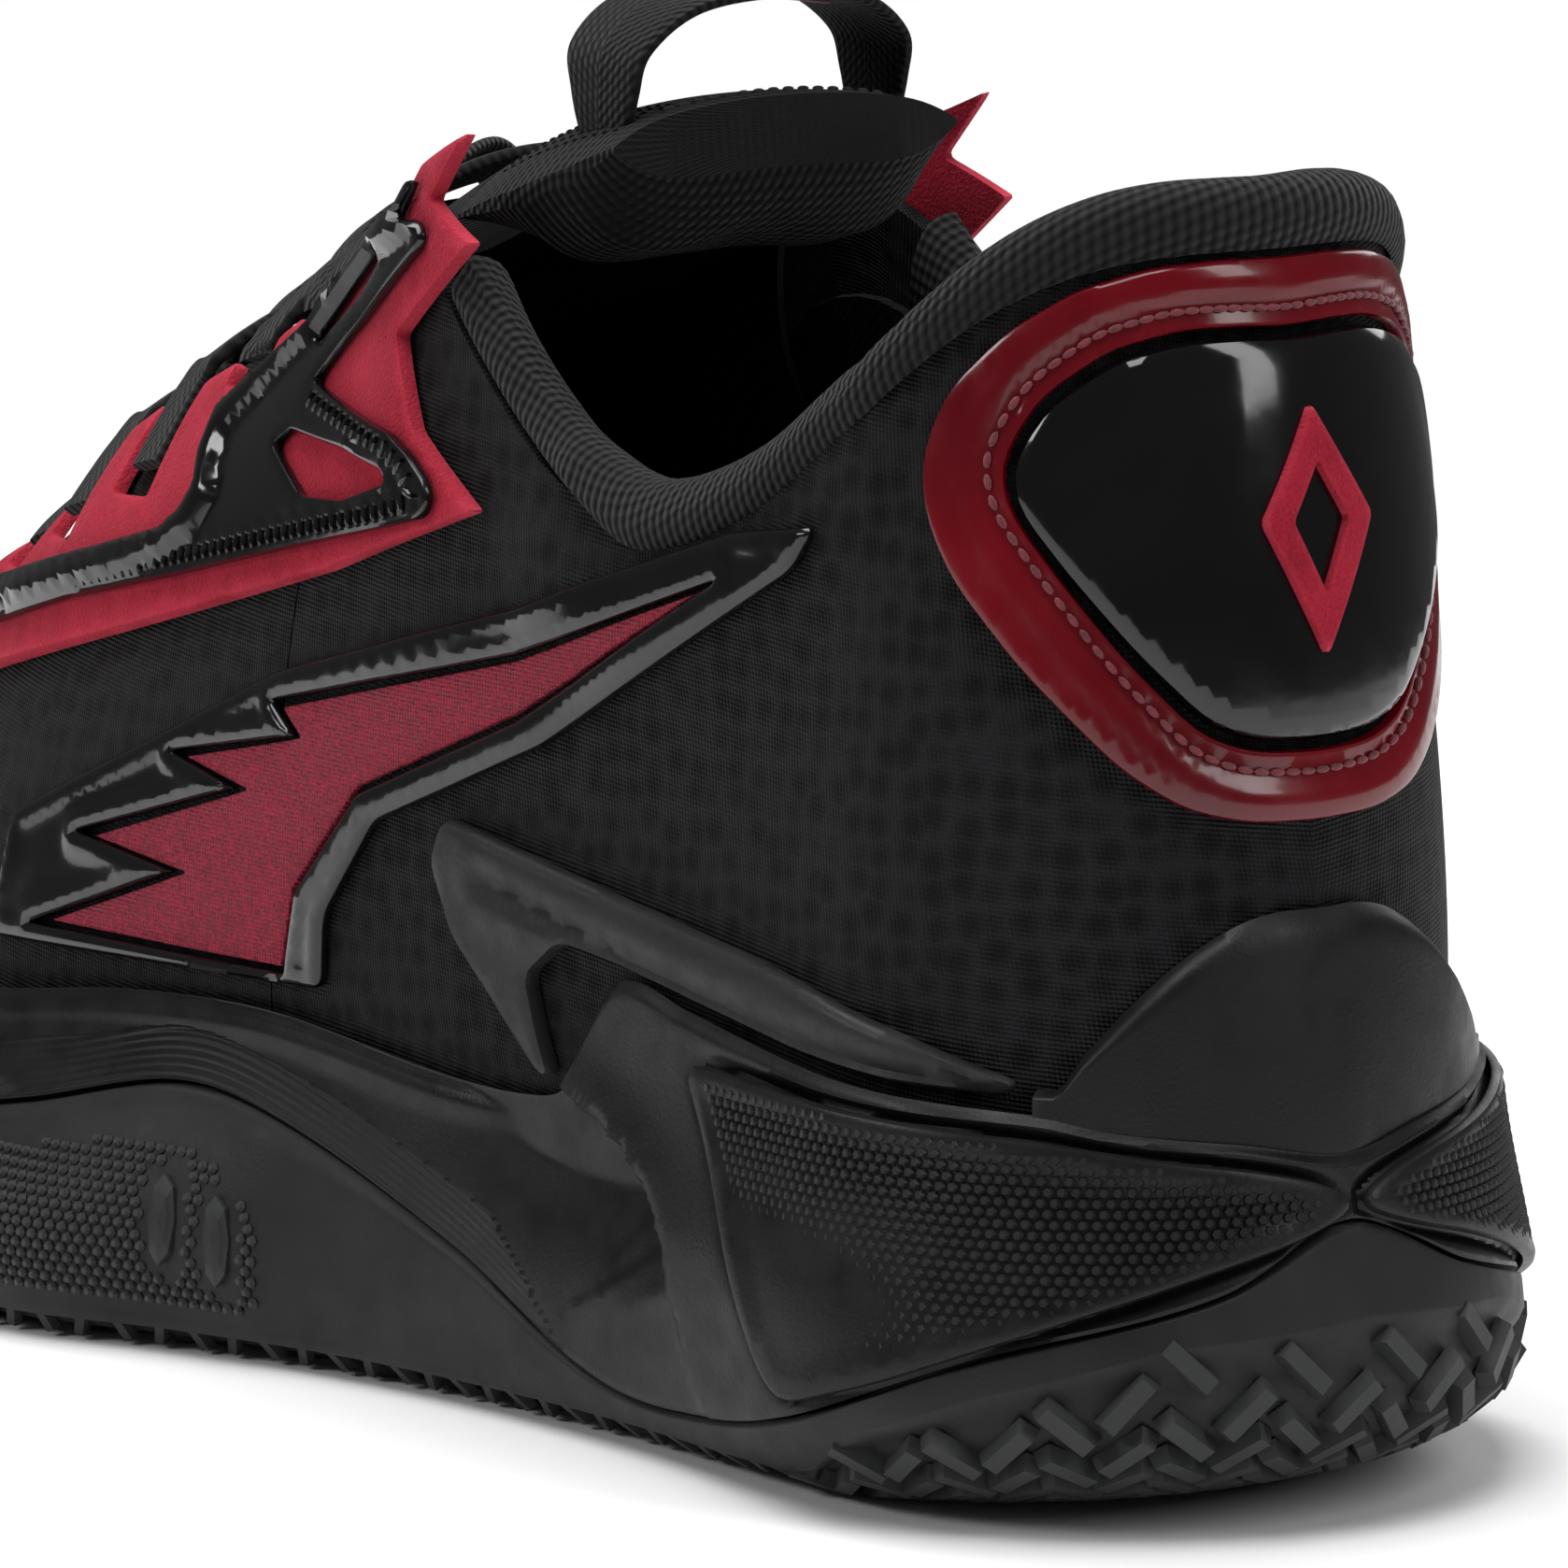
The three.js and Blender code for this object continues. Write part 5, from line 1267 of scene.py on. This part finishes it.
# ---- Side blades ----
# A glossy printed frame with a serrated lower edge, and inside it a sparkling woven red inlay that lies a
# little lower.
sparkle = finish("red_glitter", (0.2, 0.02, 0.04), 0.5, Sheen_Weight=0.03, Specular_IOR_Level=0.12)
u, v = flat_axes(sparkle)
dots = calc(sparkle, "MULTIPLY", wave(sparkle, calc(sparkle, "ADD", u, v), 0.9),
            wave(sparkle, calc(sparkle, "SUBTRACT", u, v), 0.9))
flake = add(sparkle, "TexVoronoi", {"Vector": add(sparkle, "TexCoord").outputs["Object"],
                                    "Scale": 2600}).outputs["Color"]
glint = add(sparkle, "SeparateXYZ", {"Vector": flake}).outputs["X"]
tint(sparkle, calc(sparkle, "MULTIPLY_ADD", dots, 0.16, calc(sparkle, "MULTIPLY_ADD", glint, 0.4, 0.25)),
     (0.15, 0.008, 0.022), (0.34, 0.028, 0.055))
polish(sparkle, glint, 0.25, 0.8)
emboss(sparkle, calc(sparkle, "MULTIPLY_ADD", dots, 0.08, calc(sparkle, "MULTIPLY", glint, 0.04)))
frame_edge = rounded([(63, 95.5), (66, 91), (104, 69), (131, 57.8), (139.5, 47), (140, 39.4), (198, 36.8), (197, 50),
                      (150, 70.8), (108, 82.6), (76, 93.4)], 1.5)
frame_hole = rounded([(77, 88.6), (108.5, 77.6), (150.4, 67.6), (146, 64.6), (168, 60.1), (156, 57.9), (184, 49.7),
                      (166, 48), (191, 39.2), (146.2, 40.2), (144.2, 49), (133.8, 60.4), (108, 71)], 0.5)
inlay_edge = rounded([(79.5, 87.3), (108.5, 77), (148.6, 67.2), (144.6, 64.6), (165.6, 59.9), (153.6, 58.1),
                      (181, 49.6), (163.6, 48.2), (187.6, 39.9), (146.8, 40.8), (144.9, 49.2), (134.2, 61),
                      (108.2, 71.7)], 0.5)
for name, side in SIDES:
    blade = patch("blade_frame_gloss_" + name, frame_edge, [frame_hole], 0.3, 1.2, gloss, upper_point, side, 0.6, 1.0,
                  relief=lambda p, d: 0.25 * np.exp(-(((d - 1.2) / 0.7) ** 2)) - 0.2 * ease((d - 1.6) / 2))
    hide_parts("blade_frame_" + name)
    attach(blade, "shoe")
    inlay = patch("blade_inlay_woven_" + name, inlay_edge, [], 0.3, 0.7, sparkle, upper_point, side, 0.3, 1.4)
    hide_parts("blade_inlay_" + name)
    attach(inlay, "shoe")

# ---- Heel ring and badge ----
# A red patent ring stitched round a domed glossy badge, which carries a plain raised lozenge.
patent = finish("red_patent", (0.13, 0.003, 0.009), 0.24, Coat_Weight=0.35, Coat_Roughness=0.08,
                Specular_IOR_Level=0.3)
tint(patent, speckle(patent, 55), (0.09, 0.0008, 0.004), (0.15, 0.0016, 0.0065))
polish(patent, speckle(patent, 220, 4), 0.16, 0.3)
emboss(patent, calc(patent, "MULTIPLY", speckle(patent, 220, 2), 0.06))
both = lambda points: points + [(-a, b) for a, b in points[-2:0:-1]]
ring_edge = rounded(both([(0, 122), (10, 122.1), (20, 121.6), (30, 119.6), (39, 115.6), (46.5, 109.6), (49.3, 103.2),
                          (48.2, 97.6), (44.5, 92), (35.5, 83.5), (24, 74), (17, 70.2), (9.5, 68.6), (0, 68.3)]), 3)
badge_edge = rounded(both([(0, 114.4), (8, 114.7), (16, 114.6), (25, 113), (33.5, 108.6), (37.6, 103), (36.6, 98.6),
                           (31, 93), (22.5, 84.8), (14.5, 78.2), (8.5, 76.4), (0, 76)]), 3)
grown = lambda a, b: (badge_edge - (0, 96)) * (a, b) + (0, 96)
dome = lambda p, d: 1.6 * np.clip(1 - (p[:, 0] / 33) ** 2 - ((p[:, 1] - 97) / 22) ** 2, 0, 1)


def ring_relief(p, d):
    seam = nearest(p, grown(1.09, 1.15), closed=True)[0]
    return -0.4 * np.exp(-((seam / 1.0) ** 2)) + 0.3 * np.exp(-(((seam - 2.6) / 1.3) ** 2)) - 0.2


ring = patch("heel_ring_patent", ring_edge, [grown(1.03, 1.05)], 0.4, 1.2, patent, form_point, 1, 0.6, 1.3,
             ring_relief)
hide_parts("heel_ring")
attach(ring, "shoe")
thread = finish("red_thread", (0.12, 0.004, 0.012), 0.6, Sheen_Weight=0.3)
tint(thread, speckle(thread, 1400), (0.07, 0.002, 0.007), (0.19, 0.008, 0.02))
emboss(thread, calc(thread, "MULTIPLY", speckle(thread, 4000), 0.06))
seam_path = grown(1.09, 1.15)
RING_STITCH = 2.1  # from one stitch to the next
spot, ahead = along_path(np.concatenate([seam_path, seam_path[:1]]), RING_STITCH)
stitches = repeat("heel_ring_stitches", *laid(form_point, spot, ahead, 1, 1.35), bead,
                  {"Length": 1.7, "Width": 0.75, "Height": 0.7}, thread)
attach(stitches, "shoe")
badge_gloss = gloss_finish("badge_gloss", (0.0018, 0.0018, 0.002), (0.0035, 0.0035, 0.0038), 0.1)
badge = patch("heel_badge_dome", badge_edge, [], 0.3, 2.0, badge_gloss, form_point, 1, 1.4, 1.4, dome)
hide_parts("heel_badge")
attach(badge, "shoe")
mark = patch("badge_lozenge", rounded([(0, 108), (8, 97), (0, 84), (-8, 97)], 0.8),
             [rounded([(0, 102.5), (4, 96.9), (0, 90), (-4, 96.9)], 0.5)],
             2.2, 1.05, suede, form_point, 1, 0.3, 0.8, dome)
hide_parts("badge_mark")
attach(mark, "shoe")

# ---- Tongue ----
# A padded tongue in two parts: a woven gusset under the laces, and a thick knitted top that folds about
# the highest lace. Both are sewn round the edge.
crown = line((52, 131.5), (66, 130), (80, 126), (95, 120), (111, 112.5), (125, 105), (137, 98.6), (153, 90.5),
             (173, 80.5), (184, 74.5))
tongue_half = line((52, 22), (62, 23.5), (75, 23.2), (94, 20.4), (121, 17.4), (145, 15), (165, 12), (178, 8.5),
                   (186, 3))
tongue_drop = line((52, 2.5), (66, 4.5), (85, 7.5), (184, 7))
HINGE_X = 80
GUSSET_DEPTH, PAD_DEPTH = 8, 16


def tongue_point(x, side, depth):
    """A point of the tongue: side runs from -1 to 1 across it, depth is measured down from its face."""
    x, side, depth = np.broadcast_arrays(np.asarray(x, float), side, depth)
    slope = (crown(x + 1) - crown(x - 1)) / 2
    n = np.stack([-slope, 0 * x, 1 + 0 * x], -1)
    n /= np.linalg.norm(n, axis=-1, keepdims=True)
    p = np.stack([x, side * tongue_half(x) + swing(x), crown(x) - tongue_drop(x) * side**2], -1)
    return p - n * depth[..., None]


def tongue_slab(name, xs, deep, material, inset):
    x, side = np.asarray(xs, float)[:, None], np.linspace(-1, 1, 40)[None, :]
    round_edge = 1 - np.abs(side) ** 8
    depth = deep(x, side)
    over = tongue_point(x, side * inset, 0.35 * depth * (1 - round_edge) + 0.4)
    lower = tongue_point(x, side * inset, depth - 0.35 * depth * (1 - round_edge) - 0.4)
    return loft(name, np.concatenate([over, lower[:, ::-1]], 1), material)


def tongue_sewn(points):
    x = points[:, 0]
    side = np.abs(points[:, 1] - swing(x)) / tongue_half(x)
    return np.where(side > 0.93, 1.0, 0.0)


tongue_cloth = woven_finish("tongue_fabric", (0.002, 0.002, 0.0022), (0.0085, 0.0088, 0.0094), 0.08)
gusset = tongue_slab("tongue_gusset_pad", np.linspace(185, 81.4, 70), lambda x, side: GUSSET_DEPTH + 0 * x + 0 * side,
                     tongue_cloth, 1)
stuffed(gusset, 0.35, tongue_sewn)
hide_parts("tongue_gusset")
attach(gusset, "shoe")


def pad_depth(x, side):
    return (PAD_DEPTH * np.sqrt(np.clip((x - 50) / 9, 0.25, 1)) * (1 - 0.45 * side**4)
            * (1 - 0.6 * np.clip((x - HINGE_X + 12) / 12, 0, 1)))


tongue_knit = knit_rib("tongue_knit", (0.0018, 0.0018, 0.002), (0.0095, 0.0098, 0.0104))
pad_x = np.concatenate([np.linspace(HINGE_X - 0.8, 56, 26), [54.6, 53.4, 52.6, 52.1]])
pad = tongue_slab("tongue_top_pad", pad_x, pad_depth, tongue_knit, 0.985)
stuffed(pad, 0.8, lambda points: np.where((points[:, 0] > HINGE_X - 2.2), 1.0, tongue_sewn(points)), 80)
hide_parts("tongue_pad")
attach(pad, "tongue_top")

# Thin elastic webs tie the tongue's edges to the lining, and close the gap beside it.
web_knit = knit_finish("web_elastic", (0.0022, 0.0022, 0.0024), (0.008, 0.008, 0.0085), 0.9, 0.1)
for name, side in SIDES:
    x = np.linspace(83, 168, 40)[:, None]
    s = (x + ARC) * side
    edge = tongue_point(x, side * 0.96, 5.0)
    low_z = np.minimum(edge_height(s) - 22, edge[..., 2] - 9)
    foot = lift(form_point, s, reach(form_point, s, low_z), -6.1)
    k = np.linspace(0, 1, 12)[None, :, None]
    slack = np.sin(math.pi * k) * np.array([0, -side * 1.5, -1.0])
    web_face = edge * (1 - k) + foot * k + slack
    web = loft("tongue_web_" + name, np.concatenate([web_face, web_face[:, ::-1] - np.array([0, side * 0.8, 0])], 1),
               web_knit)
    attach(web, "shoe")

# Rows of small near-black beads on the tongue's facing, painted shade standing in for holes punched through it, and a
# seam along the rear edge of its top.
# Painted shade: this near-black colour stands for the shade inside each punched hole.
hole_shade = finish("punched_hole_shade", (0.0012, 0.0012, 0.0013), 0.9, Specular_IOR_Level=0.1)
tint(hole_shade, speckle(hole_shade, 900), (0.001, 0.001, 0.001), (0.003, 0.003, 0.0032))
emboss(hole_shade, calc(hole_shade, "MULTIPLY", speckle(hole_shade, 3000), 0.03))
pad_thread = finish("dark_thread", (0.012, 0.012, 0.013), 0.7, Sheen_Weight=0.1)
tint(pad_thread, speckle(pad_thread, 1400), (0.006, 0.006, 0.0065), (0.03, 0.03, 0.032))
emboss(pad_thread, calc(pad_thread, "MULTIPLY", speckle(pad_thread, 4000), 0.05))
x, side = (g.ravel() for g in np.meshgrid(np.arange(56.5, 76, 1.55),
                                          np.concatenate([np.linspace(-0.86, -0.5, 6), np.linspace(0.5, 0.86, 6)])))
x = x + 0.75 * (np.round((side + 1) / 0.072) % 2)


def settle(made, points, away):
    """Points moved onto a finished piece, and the directions out of it."""
    near = [made.closest_point_on_mesh(Vector(p) * MM) for p in points]
    out = np.array([tuple(hit[2]) for hit in near])
    return np.array([tuple(hit[1]) for hit in near]) / MM + out * away, out


face, up = settle(pad, tongue_point(x, side, -1), 0.02)
holes = repeat("tongue_hole_shade_beads", face, up, np.tile([1.0, 0, 0], (len(x), 1)), bead,
               {"Length": 0.9, "Width": 0.55, "Height": 0.3}, hole_shade)
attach(holes, "tongue_top")
seam = np.stack([np.full(24, 54.8), np.linspace(0.62, -0.62, 24)], -1)
spot = settle(pad, [tongue_point(x, side, -1) for x, side in seam], 0.1)[0]
run = np.concatenate([[0], np.cumsum(np.linalg.norm(np.diff(spot, axis=0), axis=1))])
even = np.arange(0.5, run[-1], 1.9)
spot_even = np.stack([np.interp(even, run, spot[:, k]) for k in range(3)], -1)
lies = np.gradient(spot_even, axis=0)
edge_seam = repeat("tongue_top_stitches", *settle(pad, spot_even, 0.1), lies, bead,
                   {"Length": 1.5, "Width": 0.6, "Height": 0.55}, pad_thread)
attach(edge_seam, "tongue_top")

# ---- Pull loop ----
# Flat woven webbing sewn down at both ends on top of the tongue, with a plain red bar woven in.


def strap(name, points, thick, wides, material, steps):
    """A flat band with rounded edges through points; wides are the half width directions along it."""
    p = np.asarray(points, float)
    n = len(p)
    t = np.linspace(0, n - 1, steps)
    i = np.minimum(t.astype(int), n - 2)
    w = (t - i)[:, None]
    b, c = p[i], p[i + 1]
    a, d = p[np.maximum(i - 1, 0)], p[np.minimum(i + 2, n - 1)]
    spine = 0.5 * (2 * b + (c - a) * w + (2 * a - 5 * b + 4 * c - d) * w**2 + (3 * b - a - 3 * c + d) * w**3)
    run = np.gradient(spine, axis=0)
    run /= np.linalg.norm(run, axis=1, keepdims=True)
    wide = np.asarray(wides(t / (n - 1)), float)
    half = np.linalg.norm(wide, axis=1, keepdims=True)
    wide = wide - run * np.sum(wide * run, 1, keepdims=True)
    wide /= np.linalg.norm(wide, axis=1, keepdims=True)
    up = np.cross(run, wide)
    angle = np.linspace(0, 2 * math.pi, 22, endpoint=False)
    x, y = np.cos(angle), np.sin(angle)
    x, y = np.sign(x) * np.abs(x) ** 0.35, np.sign(y) * np.abs(y) ** 0.6
    half_width = wide[:, None] * (half[:, None] * x[None, :, None])
    ring = spine[:, None] + half_width + up[:, None] * (thick / 2 * y[None, :, None])
    shift = np.broadcast_to(x[None, :], ring.shape[:2]) * half
    return loft(name, ring, material, marks={"across": shift})


def braid(name, dark, light, pitch, depth):
    """Flat braid: slanted threads that meet along the middle."""
    material = finish(name, dark, 0.85, Sheen_Weight=0.08, Sheen_Roughness=0.5, Specular_IOR_Level=0.18)
    u, _ = flat_axes(material)
    side = calc(material, "ABSOLUTE", add(material, "Attribute", attribute_name="across").outputs["Fac"])
    slant = wave(material, calc(material, "ADD", u, calc(material, "MULTIPLY", side, 0.9)), pitch)
    strand = wave(material, side, pitch * 0.8)
    height = calc(material, "MULTIPLY_ADD", slant, 0.6, calc(material, "MULTIPLY", strand, 0.4))
    tint(material, calc(material, "MULTIPLY_ADD", height, 0.22, 0.5), dark, light)
    emboss(material, calc(material, "MULTIPLY", height, depth))
    return material


webbing = braid("webbing_weave", (0.0025, 0.0025, 0.0028), (0.0125, 0.0127, 0.0134), 1.2, 0.16)
loop_base = float(tongue_point(60, 0, 0)[2])
loop_path = [(60, side * 17, loop_base + up + 1.8) for side, up in
             ((-0.99, -6.5), (-1, -1.2), (-0.95, 3.4), (-0.6, 7.4), (0, 8.5), (0.6, 7.4), (0.95, 3.4), (1, -1.2),
              (0.99, -6.5))]
loop_wide = lambda k: np.stack([7.5 * (0.35 + 0.65 * np.sin(math.pi * np.clip(k, 0.02, 0.98)) ** 0.6), 0 * k, 0 * k],
                               -1)
loop = strap("pull_loop_webbing", loop_path, 1.6, loop_wide, webbing, 80)
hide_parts("pull_loop")
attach(loop, "loop")
bar = strap("pull_loop_red_bar", loop_path[3:6], 2.3, lambda k: np.stack([2.2 + 0 * k, 0 * k, 0 * k], -1), thread, 30)
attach(bar, "loop")

# ---- Laces ----
# Flat braided laces: five straight rows across the throat, each going down through a notch in the flaps
# on both sides, and the crossings between them.
lace_braid = braid("lace_braid", (0.003, 0.003, 0.0034), (0.017, 0.0174, 0.0184), 1.3, 0.18)
LACE_W, LACE_T = 7.5, 1.6
for row, (s, low) in enumerate(lace_places):
    x = s - ARC
    slope = float(crown(x + 2) - crown(x - 2)) / 4
    wide = np.array([1, 0, slope]) / math.hypot(1, slope) * LACE_W / 2
    ends, off = [], 0.3 + LACE_T / 2 + 0.3
    for side in (1, -1):
        at = lambda z, away: lift(form_point, s * side, reach(form_point, s * side, z), away)
        edge_top = throat(s)
        rim = at(edge_top - 0.2, -1)
        rim[2] = edge_top + off + 1.7
        ends.append([at(low + 3.5, off), at(edge_top - 1.6, off + 0.4), rim,
                     tongue_point(x, side * 0.6, -0.3 - LACE_T / 2 - 1.1)])
    path = [*ends[0], tongue_point(x, 0, -0.3 - LACE_T / 2 - 0.4), *ends[1][::-1]]
    lace = strap("lace_row_%d_braid" % (row + 1), path, LACE_T, lambda k: np.repeat(wide[None], len(k), 0),
                 lace_braid, 110)
    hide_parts("lace_row_%d" % (row + 1))
    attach(lace, "shoe")
for row in range(4):
    near, far = lace_places[row][0] - ARC, lace_places[row + 1][0] - ARC
    for side in (1, -1):
        ends = [tongue_point(far, side * 0.78, -2.3), tongue_point(far + 1.5, side * 0.5, -3.4),
                tongue_point((near + far) / 2, 0, -4.2 - 0.7 * side),
                tongue_point(near - 1.5, -side * 0.5, -3.4), tongue_point(near, -side * 0.78, -2.3)]
        lie = np.array([1, 0, float(crown(near + 2) - crown(near - 2)) / 4])
        lie = lie / np.linalg.norm(lie) * 3.2
        cross = strap("lace_cross_%d_%s" % (row + 1, "a" if side > 0 else "b"), ends, 1.3,
                      lambda k: np.repeat(lie[None], len(k), 0), lace_braid, 50)
        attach(cross, "shoe")
